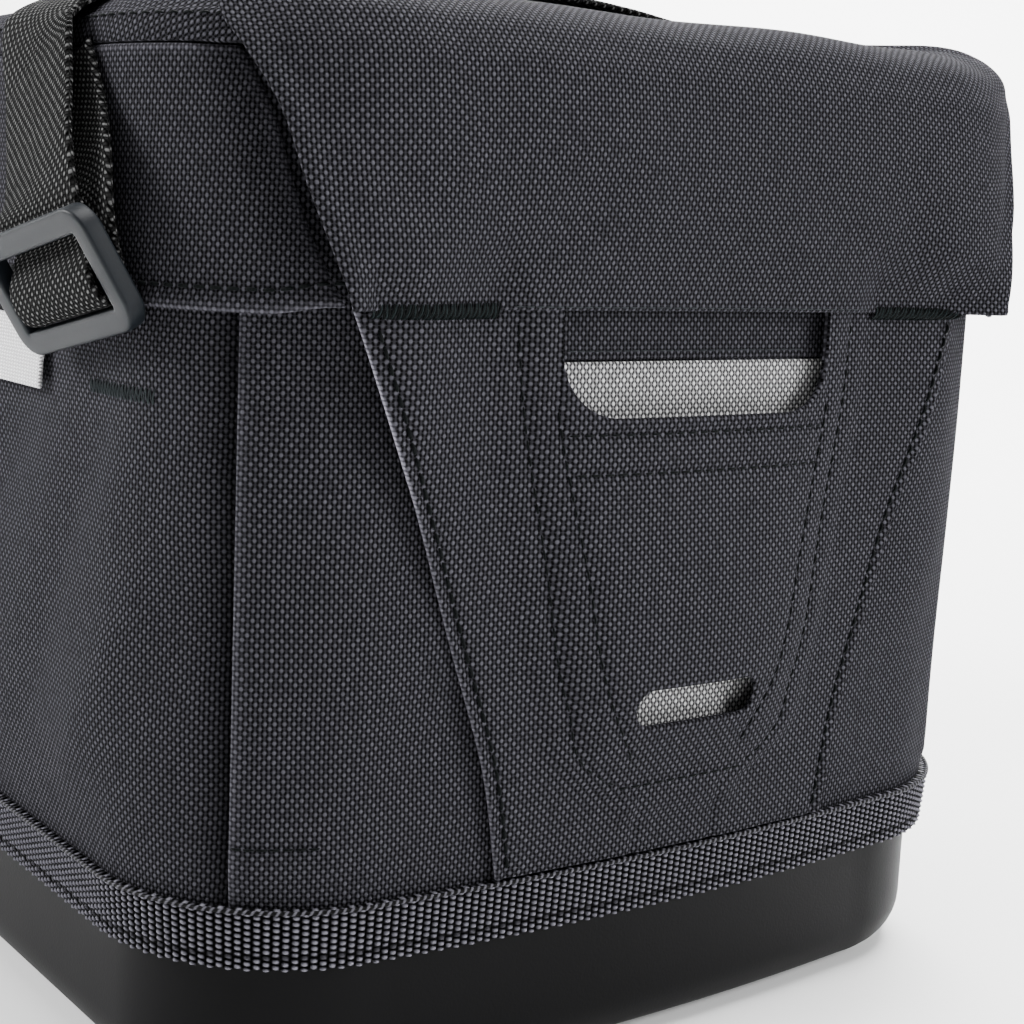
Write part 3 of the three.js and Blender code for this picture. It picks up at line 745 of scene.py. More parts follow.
def binding_edge():
    """Rope-like edge of the tape: strands laid round a core."""
    along, run = once_round(ROPE_LAY)
    turn = (np.arange(ROPE_SIDES) * 2 * PI / ROPE_SIDES)[:, None]
    strand = 0.5 + 0.5 * np.cos(turn - 2 * PI * run / ROPE_LAY)
    radius = ROPE_RADIUS * (0.72 + 0.28 * strand)
    out = binding_offset(ROPE_Z) - ROPE_RADIUS * 0.35 + radius * np.cos(turn) + bow(along)
    grid = wrapped(along, out, ROPE_Z + radius * np.sin(turn))
    weave = stacked(run, turn).reshape(-1, 2)
    faces = grid_faces(ROPE_SIDES, len(along), RING)
    return make_mesh("binding_edge", grid.reshape(-1, 3), faces, binding_yarn, weave, strand.ravel())


def base_binding():
    tape = binding_tape()
    edge = binding_edge()
    place(edge, None, "tape")
    flat = (2 * (BINDING_TOP - BINDING_BOTTOM) * MM, 2 * HALF_ROUND * MM)
    area = BINDING_SHARE * flat[0] * flat[1]
    sheet = {"flat": flat, "held": "folded", "rests_on": ["moulded_base"]}
    place(tape, "base_binding", "tape", **sheet, with_pieces=[edge], area=area)


base_binding()


# Cloth walls

WALL_WAVES = ((64, 20, 0.35, 0.4), (41, 105, 0.3, 1.9), (93, 60, 0.5, 2.7), (29, 140, 0.14, 0.8))
CALM_LOW = (BINDING_TOP, BINDING_TOP + 25)
CALM_HIGH = (HEM - 15, HEM + 5)

# Corner seams: the end wall laps over the side wall, which dips under it
SEAM_LAP = 1.4
SEAM_LAP_FLAT = 3.0
SEAM_LAP_WIDTH = 7.0
SEAM_DIP = 2.3
SEAM_DIP_WIDTH = 4.5
SEAM_UNDER = 1.4
SEAM_ROUND = 0.5
SEAM_ROUND_WIDTH = 2.0
SEAM_CALM = (2, 16)
DIP_RISE = (50, 60)
LAP_RISE = (50, 58)
# Painted shade on the side walls next to the corner seams, and a painted highlight along the end walls' edges
SEAM_SHADE = {"fold": -0.85, "reach": 4.5}
SEAM_HIGHLIGHT = {"fold": 0.06, "reach": 1.8}
SIDE_SPAN = (-(HALF_ROUND - SEAM_ALONG + SEAM_UNDER), -SEAM_ALONG + SEAM_UNDER)
END_SPAN = (-(SEAM_ALONG - GAP / 2), SEAM_ALONG - GAP / 2)

# Fullness of the end walls towards the back, and folds near the front's corners
BACK_FULLNESS = 1.6
BACK_FULL_ALONG = (55, 90)
BACK_FULL_Z = (70, 170)
FRONT_CREASES = (
    ((front_along(150), 172), (front_along(95), 70), 10, -2.0),
    ((front_along(128), 176), (front_along(40), 92), 12, -1.6),
    ((front_along(160), 120), (front_along(120), 60), 9, 1.4),
)


def wall_ripples(a, z):
    """Waves of the walls, calmer close to the binding and to the lid's hem."""
    calm = smoothstep(z, *CALM_LOW) * (1 - 0.8 * smoothstep(z, *CALM_HIGH))
    return calm * ripples(a, z, WALL_WAVES)


def side_surface(a, z):
    offset = swell(a, z) + wall_ripples(a, z)
    for start, end, width, depth in FRONT_CREASES:
        offset = offset + crease(a, z, start, end, width, depth)
        offset = offset + crease(-HALF_ROUND - a, z, start, end, width, depth)
    seam = np.maximum(from_end(a) - SEAM_ALONG, 0)
    return wrapped(a, offset - SEAM_DIP * bell(seam, 0, SEAM_DIP_WIDTH) * smoothstep(z, *DIP_RISE), z)


def end_surface(a, z):
    seam = SEAM_ALONG - np.abs(a)
    lap = SEAM_LAP * bell(np.maximum(seam - SEAM_LAP_FLAT, 0), 0, SEAM_LAP_WIDTH)
    edge = SEAM_ROUND * bell(seam, 0, SEAM_ROUND_WIDTH)
    ripple = 0.9 * wall_ripples(a, z) * smoothstep(seam, *SEAM_CALM)
    full = BACK_FULLNESS * smoothstep(a, *BACK_FULL_ALONG) * smoothstep(z, *BACK_FULL_Z)
    return wrapped(a, swell(a, z) + (lap - edge) * smoothstep(z, *LAP_RISE) + ripple + full, z)


def wall(name, node, surface, span, mirror, edge):
    a = stations(*span, 2.5)
    z = stations(BODY_BOTTOM, RIM, 4.0)[:, None]
    piece = cloth(name, surface(a, z), BODY_WALL, body_cloth, stacked(a, z), mirror, **edge)
    flat = ((span[1] - span[0]) * MM, (RIM - BODY_BOTTOM) * MM)
    place_cloth(piece, node, "cloth", flat, "stretched", ["moulded_base"])


wall("front_wall", "body_front_panel", side_surface, SIDE_SPAN, SAME, SEAM_SHADE)
wall("back_wall", "body_back_panel", side_surface, SIDE_SPAN, TO_BACK, SEAM_SHADE)
wall("right_wall", "body_right_panel", end_surface, END_SPAN, SAME, SEAM_HIGHLIGHT)
wall("left_wall", "body_left_panel", end_surface, END_SPAN, TO_LEFT, SEAM_HIGHLIGHT)


# Tapering end panels and the tool pocket

PANEL_FLAT = (0.18, 0.13)
TOOL_PANEL_AREA = 0.0172
PANEL_WEAVE = 0.9
PANEL_WAVES = ((52, 75, 0.28, 0.3), (33, 15, 0.18, 2.1), (77, 120, 0.35, 1.2))
PANEL_WAVE_SHARE = 0.7
PANEL_EDGE = ((0.3, 0.9, 1.2), (-0.45, 3.2, 1.2))

# Upper corners, which the sewn flap pulls out, and the back one also to the side
CORNER_LIFT = 6.3
BACK_CORNER_LIFT = 3.6
LIFT_ALONG = (50, 84)
LIFT_Z = (112, 178)
BACK_DRAW = 2.5
DRAW_ALONG = (45, 90)
DRAW_Z = (130, 178)

# Stitch lines of the pocket, and the grooves that they pull
OUTER_LINE_INSET = 1.5
HEM_LINES = (152.3, 143.4)
STITCH_DIP = 0.55
LINE_WIDTH = 1.3
HEM_LINE_WIDTH = 1.1
INNER_LINE_RISE = (72, 80)

# Painted highlight along the panel's front edge, strongest near its top
EDGE_HIGHLIGHT_WIDTH = 0.32
EDGE_HIGHLIGHT_BACK = 0.15
EDGE_HIGHLIGHT_Z = 158
EDGE_HIGHLIGHT_REACH = 20

# Distance where no free edge is near
FAR = 99.0

# Columns of the panel: fixed over the pocket, finer at the slot and the mouth, and shares outside it
MIDDLE_HALF = 45.0
COLUMN_STEP = 1.3
LEAST_STEP = 0.22
SLOT_COLUMNS = (0, 0.4, 1.2, 2.4, SLOT_RADIUS)
MOUTH_COLUMNS = (0, -0.3, -1.2, 0.4, 1.3)
EDGE_SHARES = (0.0, 0.004, 0.01, 0.02, 0.035, 0.06, 0.09)
ROW_SHARES = (0.003, 0.008, 0.016)


def panel_half(z):
    return look_up(PANEL_WIDTH, "z", "half", z)


def pocket_half(z):
    return look_up(POCKET_WIDTH, "z", "half", z)


def inner_half(z):
    return look_up(POCKET_INNER, "z", "half", z)


def pocket_lift(a, z):
    half = pocket_half(z)
    run = np.abs(a)
    across = 1 - smoothstep(run, half + 1, half + SEAT_WIDTH)
    seat = (LINING + GAP) * across * smoothstep(z, POCKET_BOTTOM - SEAT_WIDTH, POCKET_BOTTOM - 1)
    rise = smoothstep(z, POCKET_BOTTOM, POCKET_FULL)
    bulge = POCKET_DEPTH * rise * (1 - np.clip(run / half, 0, 1) ** POCKET_CREST)
    return seat + bulge


def stitch_dips(a, z):
    """Grooves that the pocket's stitch lines pull into the cloth."""
    inner = inner_half(z)
    run = np.abs(a)
    dip = bell(run, pocket_half(z) - OUTER_LINE_INSET, LINE_WIDTH)
    dip = dip + bell(run, inner, LINE_WIDTH) * smoothstep(z, *INNER_LINE_RISE)
    for line in HEM_LINES:
        hem = bell(z, line, HEM_LINE_WIDTH) * (1 - smoothstep(run, inner - 1, inner + 1))
        dip = np.maximum(dip, hem)
    return -STITCH_DIP * np.clip(dip, 0, 1)


def panel_edge(a, z):
    """The panel's folded edge and stitch groove, and its upper corners, which the sewn flap pulls out."""
    lift = np.where(a < 0, CORNER_LIFT, BACK_CORNER_LIFT)
    pulled = lift * smoothstep(np.abs(a), *LIFT_ALONG) * smoothstep(z, *LIFT_Z)
    return ridges(panel_half(z) - np.abs(a), PANEL_EDGE) + pulled


def panel_offset(a, z):
    """Outer face of a panel with no pocket."""
    waves = PANEL_WAVE_SHARE * ripples(a, z, PANEL_WAVES)
    return swell(a, z) + GAP + PANEL_CLOTH + panel_edge(a, z) + waves


def tool_panel_surface(a, z):
    a = a - BACK_DRAW * smoothstep(a, *DRAW_ALONG) * smoothstep(z, *DRAW_Z)
    return wrapped(a, panel_offset(a, z) + pocket_lift(a, z) + stitch_dips(a, z), z)


def plain_panel_surface(a, z):
    return wrapped(a, panel_offset(a, z), z)


def panel_columns():
    """Fixed columns over the pocket, and shares of the rest of the panel's width outside it."""
    slot = SLOT_HALF - np.array(SLOT_COLUMNS)
    mouth = MOUTH_HALF - np.array(MOUTH_COLUMNS)
    half = np.unique(np.concatenate([np.arange(0, MIDDLE_HALF, COLUMN_STEP), slot, mouth]))
    half = half[np.concatenate([[True], np.diff(half) > LEAST_STEP])]
    middle = np.concatenate([-half[:0:-1], half])
    share = np.concatenate([np.linspace(0, 0.9, 26), 1 - np.array(EDGE_SHARES)[::-1]])
    return middle, share


def mouth_line(a):
    """Height of the pocket's mouth, or of the panel's top edge beside it."""
    run = np.abs(a)
    turn = np.clip(run - (MOUTH_HALF - MOUTH_RADIUS), 0, MOUTH_RADIUS)
    curve = MOUTH_BOTTOM + MOUTH_RADIUS - np.sqrt(np.maximum(MOUTH_RADIUS**2 - turn**2, 0))
    return np.where(run <= MOUTH_HALF, curve, PANEL_TOP)


def slot_line(a, way):
    """Height of the slot's upper or lower edge, or of its middle beside it."""
    turn = np.clip(np.abs(a) - (SLOT_HALF - SLOT_RADIUS), 0, SLOT_RADIUS)
    reach = np.sqrt(np.maximum(SLOT_RADIUS**2 - turn**2, 0))
    return SLOT_Z + way * np.where(np.abs(a) < SLOT_HALF, reach, 0)


def free_edge(a, z):
    """Distance from the panel's free edges: the mouth, the slot and the outside."""
    run = np.abs(a)
    mouth = np.where(run <= MOUTH_HALF + 0.35, mouth_line(a) - z, FAR)
    beside = np.where(z > MOUTH_BOTTOM + MOUTH_RADIUS, np.abs(run - MOUTH_HALF), FAR)
    turn = np.maximum(run - (SLOT_HALF - SLOT_RADIUS), 0)
    slot = np.abs(np.hypot(turn, z - SLOT_Z) - SLOT_RADIUS)
    return np.maximum(np.minimum.reduce([mouth, beside, slot, panel_half(z) - run]), 0)


def panel_part(middle, share, low, high, count):
    """Grid of cloth coordinates between two lines that are given for the middle columns."""
    fine = np.array(ROW_SHARES)
    steps = np.unique(np.concatenate([np.linspace(0, 1, count), 1 - fine, fine]))[:, None]
    sides = len(share)
    low = np.pad(low, sides, mode="edge")
    high = np.pad(high, sides, mode="edge")
    z = low + (high - low) * steps
    outer = MIDDLE_HALF + share * (panel_half(z)[:, :sides] - MIDDLE_HALF)
    inner = np.tile(middle, (len(z), 1))
    return np.concatenate([-outer[:, ::-1], inner, outer], axis=1), z


def panel_layers(a, z):
    """Outer and inner points of a part of the panel, its cloth coordinates and its painted edge highlight."""
    outer, inner = rolled_sheet(tool_panel_surface(a, z), free_edge(a, z), PANEL_CLOTH)
    # Painted highlight on the folded front edge, fainter on the back edge
    side = bell(panel_half(z), np.abs(a), EDGE_HIGHLIGHT_WIDTH) * np.where(a < 0, 1.0, EDGE_HIGHLIGHT_BACK)
    painted_shading = side * (0.25 + 0.75 * bell(z, EDGE_HIGHLIGHT_Z, EDGE_HIGHLIGHT_REACH))
    return outer, inner, stacked(PANEL_WEAVE * a, z).reshape(-1, 2), painted_shading.ravel()


def tool_panel():
    """Panel with the pocket, in two parts that meet beside the slot."""
    middle, share = panel_columns()
    bottom = np.full(len(middle), PANEL_BOTTOM)
    parts = [
        panel_part(middle, share, bottom, slot_line(middle, -1), 28),
        panel_part(middle, share, slot_line(middle, 1), mouth_line(middle), 62),
    ]
    lower, upper = (np.arange(a.size).reshape(a.shape) for a, _ in parts)
    upper = upper + lower.size
    joined = np.abs(parts[1][0][0]) >= SLOT_HALF
    upper[0, joined] = lower[-1, joined]
    faces = np.concatenate([index_faces(lower), index_faces(upper)])
    used = np.unique(faces)
    faces = close_slab(np.searchsorted(used, faces), len(used))
    layers = zip(*(panel_layers(a, z) for a, z in parts))
    outer, inner, weave, painted_shading = (np.concatenate(column)[used] for column in layers)
    points = np.concatenate([outer, inner])
    weave = np.concatenate([weave, weave + PANEL_CLOTH])
    piece = make_mesh("tool_panel", points, faces, body_cloth, weave, np.tile(painted_shading, 2))
    sheet = {"flat": PANEL_FLAT, "held": "stretched", "rests_on": ["right_wall"]}
    place(piece, "plier_panel", "cloth", **sheet, area=TOOL_PANEL_AREA)


def plain_panel():
    z = stations(PANEL_BOTTOM, PANEL_TOP, 2.2)[:, None]
    a = stations(-1.0, 1.0, 0.03, fine=(0.0, 0.003, 0.008, 0.016, 0.03)) * panel_half(z)
    weave = stacked(PANEL_WEAVE * a, z)
    piece = cloth("plain_panel", plain_panel_surface(a, z), PANEL_CLOTH, body_cloth, weave, TO_LEFT)
    place_cloth(piece, "plain_end_panel", "cloth", PANEL_FLAT, "stretched", ["left_wall"])


def lining_surface(a, z):
    return wrapped(a, swell(a, z) + GAP + LINING, z)


def pocket_sheet(name, node, slot, low, high, material):
    z = stations(low, high, 2.0)[:, None]
    a = np.linspace(-1, 1, 61) * pocket_half(z)
    piece = cloth(name, lining_surface(a, z), LINING, material, stacked(a, z))
    flat = (2 * POCKET_WIDTH["half"][-1] * MM, (high - low) * MM)
    place_cloth(piece, node, slot, flat, "stretched", ["right_wall"])


tool_panel()
plain_panel()
pocket_sheet("pocket_back", "pocket_lining", "lining", POCKET_BOTTOM + 2, LINING_TOP, lining_cloth)
pocket_sheet("pocket_band", "pocket_facing", "cloth", LINING_TOP + GAP, PANEL_TOP, body_cloth)


# Lid

LID_WAVES = ((120, 30, 0.5, 0.2), (74, 100, 0.35, 1.4), (47, 150, 0.15, 2.2))
LID_CALM_ROWS = (6, 20)
LID_EDGE_ROWS = 29


def lid_edge(a, inset):
    return wrapped(a, LID_OVERHANG_TOP - inset, look_up(LID_DOME, "inset", "z", inset))


def lid_rows():
    """Offset, height and scale of the lid's rows, from its seam to near its middle."""
    insets = np.concatenate([np.linspace(0, 3, 8), np.linspace(4, LID_EDGE_INSET, LID_EDGE_ROWS - 7)])
    edge = [(LID_OVERHANG_TOP - inset, look_up(LID_DOME, "inset", "z", inset), 1.0) for inset in insets]
    level = LID_OVERHANG_TOP - LID_EDGE_INSET
    scales = np.linspace(0.97, 0.08, 26)
    return edge + [(level, look_up(LID_CROWN, "scale", "z", scale), scale) for scale in scales]


def lid_weave(along, grid):
    """Cloth coordinates of the lid, laid out flat past its edge."""
    reach = lengths(grid, 0)
    level = LID_OVERHANG_TOP - LID_EDGE_INSET + np.maximum(reach[LID_EDGE_ROWS] - reach, 0)
    flat = wrapped(along, level, 0.0)[..., :2]
    flat[LID_EDGE_ROWS:] = grid[LID_EDGE_ROWS:, :, :2]
    return np.tile(flat.reshape(-1, 2), (2, 1))


def lid_faces(rows, columns):
    """Outer and inner faces, the strip between them at the seam, and the caps in the middle."""
    count = rows * columns
    index = np.arange(columns)
    following = np.roll(index, -1)
    faces = grid_faces(rows, columns, TUBE).tolist()
    faces += grid_faces(rows, columns, TUBE, count)[:, ::-1].tolist()
    faces += np.stack([index, index + count, following + count, following], axis=-1).tolist()
    faces += cap_faces(columns, count - columns)
    return faces + cap_faces(columns, 2 * count - columns, True)


def lid_cover():
    along = loop_stations(20, 22, 70)
    grid = rings(along, lid_rows())
    rows, columns = grid.shape[:2]
    inward = smoothstep(np.arange(rows), *LID_CALM_ROWS)[:, None]
    grid[..., 2] += inward * ripples(grid[..., 0], grid[..., 1], LID_WAVES)
    inner = grid - normals_of(grid, joined=True) * LID_CLOTH
    points = np.concatenate([grid.reshape(-1, 3), inner.reshape(-1, 3)])
    faces = lid_faces(rows, columns)
    piece = make_mesh("lid_cover", points, faces, body_cloth, lid_weave(along, grid), np.zeros(len(points)))
    flat = (2 * (HALF_LENGTH + LID_OVERHANG_TOP) * MM, 2 * (HALF_DEPTH + LID_OVERHANG_TOP) * MM)
    place(piece, "lid_top", "cloth", flat=flat, held="stretched", rests_on=["front_wall", "back_wall"])


lid_cover()


# Lid's hanging edge

SKIRT_FLAT = (0.43, 0.052)
SKIRT_WEAVE = 1.25
SKIRT_WAVES = ((58, 10, 0.3, 0.7), (31, 80, 0.15, 1.5))
SKIRT_BELOW = 0.3
SKIRT_DROP = 1.8
SKIRT_DROP_ALONG = (2, 14)
SKIRT_STITCH = 4.9
SKIRT_EDGE = ((-0.3, SKIRT_STITCH, 1.0), (0.45, 1.5, 1.5))
SKIRT_PRESSED = 2.2
SKIRT_PRESSED_LOW = 1.2
PRESSED_ALONG = (0, 12)
PRESSED_Z = (183, 200)


def overlay_half(z):
    return look_up(OVERLAY_WIDTH, "z", "half", z)


def from_flap(a, z):
    """Arc length from the nearer flap's edge."""
    return from_end(a) - overlay_half(z)


def skirt_hem(a):
    """Height of the skirt's hem, which rises where the flap holds it."""
    return HEM - SKIRT_BELOW - SKIRT_DROP * smoothstep(from_flap(a, HEM), *SKIRT_DROP_ALONG)


def skirt_surface(a, z):
    loose = 1 - smoothstep(z, HEM, LID_SEAM)
    held = (1 - smoothstep(from_flap(a, z), *PRESSED_ALONG)) * smoothstep(z, *PRESSED_Z)
    pressed = (SKIRT_PRESSED + SKIRT_PRESSED_LOW * loose) * held
    edge = ridges(z - skirt_hem(a), SKIRT_EDGE)
    return wrapped(a, overhang(a, z) + edge - pressed + loose * ripples(a, z, SKIRT_WAVES), z)


def skirt(name, node, mirror):
    z = stations(HEM, LID_SEAM - GAP, 2.0)[:, None]
    start = overlay_half(z) - look_up(SKIRT_TUCK, "z", "in", z)
    a = start - HALF_ROUND + (HALF_ROUND - 2 * start) * np.linspace(0, 1, 240)
    z = z + (skirt_hem(a) - HEM) * (1 - smoothstep(z, HEM + 3, LID_SEAM))
    weave = stacked(SKIRT_WEAVE * a, z)
    # The skirt's edges, its hem among them, take a faint painted highlight
    piece = cloth(name, skirt_surface(a, z), LID_CLOTH, body_cloth, weave, mirror, fold=0.09, reach=1.5)
    place_cloth(piece, node, "cloth", SKIRT_FLAT, "hung", ["lid_cover"])


skirt("front_skirt", "lid_front_skirt", SAME)
skirt("back_skirt", "lid_back_skirt", TO_BACK)


# End flaps, with spans along the flap's width, up its height, or in rows of its middle line

FLAP_FLAT = (0.226, 0.105)
FLAP_WAVES = ((66, 12, 0.35, 0.6), (38, 70, 0.2, 1.1), (95, 140, 0.4, 2.0))
FLAP_WAVE_SHARE = 0.8
FLAP_EDGE = ((0.9, 1.8, 1.7), (-0.35, 6.0, 1.8))
FLAP_HEM = ((0.4, 0.12, 0.16),)
FLAP_CREASES = (((62, 182), (22, 214), 6, -0.9), ((80, 181), (66, 222), 7, 0.8))
FLAP_OVER = (222, 237)
FLAP_FRONT_STAND = 3.0
FRONT_STAND_INSET = (24, 2)

# Bar tacks hold the hem down between these arc lengths
SEWN_START = (48, 60)
SEWN_END = 94
SEWN_FADE_FRONT = 86
SEWN_FADE_BACK = 78
SEWN_Z = (HEM + 1.5, HEM + 17)

# Back edge: flared at the hem, square at the lid's edge and rounded above it
BACK_FLARE = 5.4
FLARE_ALONG = (62, 92)
FLARE_Z = (186, 226)
BACK_SQUARE = ((2.3, 5.7, 1.0),)
SQUARE_ALONG = (90, 114)
BACK_RAISE = 2.9
RAISE_ALONG = (97, 111)
RAISE_ROWS = (5.0, 6.5)
RAISE_END_ROWS = (6.7, 8.6)
TOP_FULLNESS = ((2.0, 6.4, 1.2),)
FULL_CENTRE = 38
FULL_WIDTH = 28


def sewn_share(a, z):
    """How closely the flap's hem is sewn down, along its two rows of bar tacks."""
    run = np.abs(a)
    fade = np.where(a < 0, SEWN_FADE_FRONT, SEWN_FADE_BACK)
    along = smoothstep(run, *SEWN_START) * (1 - smoothstep(run, fade, SEWN_END))
    return along * (1 - smoothstep(z, *SEWN_Z))


def sewn_offset(a):
    """The flap's inner face where it lies on the panel."""
    waves = PANEL_WAVE_SHARE * ripples(a, HEM, PANEL_WAVES)
    return swell(a, HEM) + 2 * GAP + PANEL_CLOTH + panel_edge(a, HEM - 1) + waves


def flap_lift(a, z, row, inside, sewn):
    """How far folds and fullness stand off the flap's plain surface."""
    free = ridges(inside, FLAP_EDGE) + ridges(row, FLAP_HEM)
    free = free + BACK_FLARE * smoothstep(a, *FLARE_ALONG) * (1 - smoothstep(z, *FLARE_Z))
    rounded = smoothstep(row, *RAISE_ROWS) * (1 - 0.9 * smoothstep(row, *RAISE_END_ROWS))
    raised = BACK_RAISE * smoothstep(a, *RAISE_ALONG) * rounded
    full = bell(a, FULL_CENTRE, FULL_WIDTH) * ridges(row, TOP_FULLNESS)
    folds = FLAP_WAVE_SHARE * ripples(a, z, FLAP_WAVES)
    for line in FLAP_CREASES:
        folds = folds + crease(a, z, *line) + crease(-a, z, *line)
    return free * (1 - sewn) + raised + full + folds


def flap_surface(u, row):
    """End flap: u from -1 to 1 across it, row along its middle line from the hem over the lid's edge."""
    offset = look_up(OVERLAY_LINE, "row", "offset", row)
    z = look_up(OVERLAY_LINE, "row", "z", row)
    half = overlay_half(z)
    a = u * half
    inside = half - np.abs(a)
    over = smoothstep(z, *FLAP_OVER)
    stand = FLAP_FRONT_STAND * smoothstep(-a, *(half - inset for inset in FRONT_STAND_INSET))
    edge = (overhang(a, z) + 2 * GAP + stand) * (1 - over) + offset * over
    inner = np.maximum(offset, offset + (edge - offset) * smoothstep(np.abs(a), *OVERLAY_PRESSED))
    sewn = sewn_share(a, z)
    inner = inner + (sewn_offset(a) - inner) * sewn
    steep = np.clip((DOME_FLAT_Z - z) / (DOME_FLAT_Z - LID_SEAM), 0, 1)
    square = smoothstep(a, *SQUARE_ALONG) * ridges(row, BACK_SQUARE)
    lift = PANEL_CLOTH + flap_lift(a, z, row, inside, sewn)
    return wrapped(a, inner + lift * steep + square, z + lift * (1 - steep))


def flap_by_height(a, z):
    """The flap's outer face by arc length and height, near its hem."""
    row = np.interp(z, OVERLAY_LINE["z"], OVERLAY_LINE["row"])
    return flap_surface(a / overlay_half(z), row)


def flap(name, node, mirror):
    row = np.concatenate([[0, 0.02, 0.05, 0.1, 0.16], np.linspace(0.25, 8.9, 84), [8.95, 8.98, 9.0]])
    u = stations(-1.0, 1.0, 0.015, fine=(0.0, 0.0015, 0.004, 0.008, 0.014, 0.024))
    grid = flap_surface(u, row[:, None])
    across = lengths(grid, 1)
    middle = len(u) // 2
    weave = stacked(across - across[:, middle : middle + 1], lengths(grid, 0))
    piece = cloth(name, grid, PANEL_CLOTH, body_cloth, weave, mirror)
    place_cloth(piece, node, "cloth", FLAP_FLAT, "hung", ["lid_cover"])


flap("right_flap", "lid_right_overlay", SAME)
flap("left_flap", "lid_left_overlay", TO_LEFT)


# Light tape on the front

BAND_STAND = 0.9
BAND_GROOVE = ((-0.25, TAPE_MIDDLE, 0.8),)


def front_band():
    z = stations(TAPE_BOTTOM, TAPE_TOP, 1.2, fine=(0.0, 0.1, 0.3, 0.6))[:, None]
    a = stations(front_along(-TAPE_HALF), front_along(TAPE_HALF), 2.5)
    grid = wrapped(a, swell(a, z) + GAP + TAPE + BAND_STAND + ridges(z, BAND_GROOVE), z)
    piece = cloth("front_band", grid, TAPE, tape_cloth, stacked(a, z))
    flat = (2 * TAPE_HALF * MM, (TAPE_TOP - TAPE_BOTTOM) * MM)
    place_cloth(piece, "front_tape", "lining", flat, "stretched", ["front_wall"])


front_band()


# Straps

STRAP_STEP = 0.9
STRAP_EDGE = ((0.18, 1.0, 0.7),)
STRAP_EDGE_IN = 0.3
LOOP_HEIGHT = 0.12
LOOP_PITCH = 2.8
LOOP_REACH = 1.5


def turned(vector, angle):
    c = math.cos(angle)
    s = math.sin(angle)
    return np.array([c * vector[0] - s * vector[1], s * vector[0] + c * vector[1], vector[2]])


# Directions across, up and out of the slider
ACROSS = np.array([1.0, 0.0, 0.0])
TILT_UP = np.array([0.0, -math.sin(SLIDER_TILT), math.cos(SLIDER_TILT)])
SLIDER_W = turned(math.cos(SLIDER_ROLL) * ACROSS + math.sin(SLIDER_ROLL) * TILT_UP, SLIDER_YAW)
SLIDER_H = turned(math.cos(SLIDER_ROLL) * TILT_UP - math.sin(SLIDER_ROLL) * ACROSS, SLIDER_YAW)
SLIDER_N = np.cross(SLIDER_W, SLIDER_H)


def in_slider(w, h, n):
    """Points given across, up and out of the slider."""
    return np.asarray(SLIDER_CENTRE) + stacked(w, h, n) @ np.array([SLIDER_W, SLIDER_H, SLIDER_N])


def strap_x(z):
    return STRAP_X + math.tan(STRAP_LEAN) * max(0.0, STRAP_TURN_Z - z)


def strap_cross(z):
    lean = STRAP_LEAN * float(smoothstep(STRAP_TURN_Z - z, 0, STRAP_TURN_Z - STRAP_SEWN_Z))
    return np.array([math.cos(lean), 0.0, math.sin(lean)])


def lid_height(x, y):
    length = HALF_LENGTH + LID_OVERHANG_TOP
    depth = HALF_DEPTH + LID_OVERHANG_TOP
    inset = min(length - abs(x), depth - abs(y))
    if inset < LID_EDGE_INSET:
        return float(look_up(LID_DOME, "inset", "z", inset))
    scale = max(abs(x) / (length - LID_EDGE_INSET), abs(y) / (depth - LID_EDGE_INSET))
    return float(look_up(LID_CROWN, "scale", "z", scale))


def strap_line():
    """The strap's middle line and the way its width runs, from its sewn end to the back."""
    line = []
    for out, z, aside in zip(*WEBBING_DOWN.values()):
        line.append(((strap_x(z) + aside, -HALF_DEPTH - out, z), strap_cross(z)))
    for h, n, aside in zip(*WEBBING_SLIDER.values()):
        line.append((in_slider(aside, h, n), SLIDER_W))
    for out, z in zip(*WEBBING_UP.values()):
        line.append(((strap_x(z), -HALF_DEPTH - out, z), strap_cross(z)))
    over = list(zip(*WEBBING_OVER.values()))
    for y, clear in [(-y, clear) for y, clear in over[:0:-1]] + over:
        arch = STRAP_ARCH * math.cos(PI / 2 * min(1.0, abs(y) / STRAP_ARCH_HALF)) ** 2
        z = lid_height(STRAP_X - STRAP_WIDTH / 2, y) + clear + WEBBING / 2 + arch
        line.append(((STRAP_X, y, z), ACROSS))
    resting = HALF_DEPTH + LID_OVERHANG_SIDE + GAP + WEBBING / 2
    line.append(((STRAP_X, resting + GAP, STRAP_TURN_Z), ACROSS))
    for z in (LID_SEAM - STRAP_WIDTH / 4, STRAP_BACK_Z):
        line.append(((STRAP_X, resting, z), ACROSS))
    return [np.array(column, float) for column in zip(*line)]


def columns_at(at, run, rows):
    """Straight-line values of each column of some rows."""
    return np.stack([np.interp(at, run, column) for column in rows.T], axis=-1)


def curve_through(points, values, step):
    """Smooth curve through points, sampled evenly, with directions carried along it."""
    chord = np.sqrt(np.linalg.norm(np.diff(points, axis=0), axis=1))
    chord = np.concatenate([[0], np.cumsum(chord)])
    fine = np.linspace(0, chord[-1], 4000)
    track = smooth_curve(chord, points, fine)
    run = lengths(track, 0)
    even = np.linspace(0, run[-1], int(run[-1] / step))
    carried = columns_at(even, run, columns_at(fine, chord, values))
    return columns_at(even, run, track), unit(carried), even


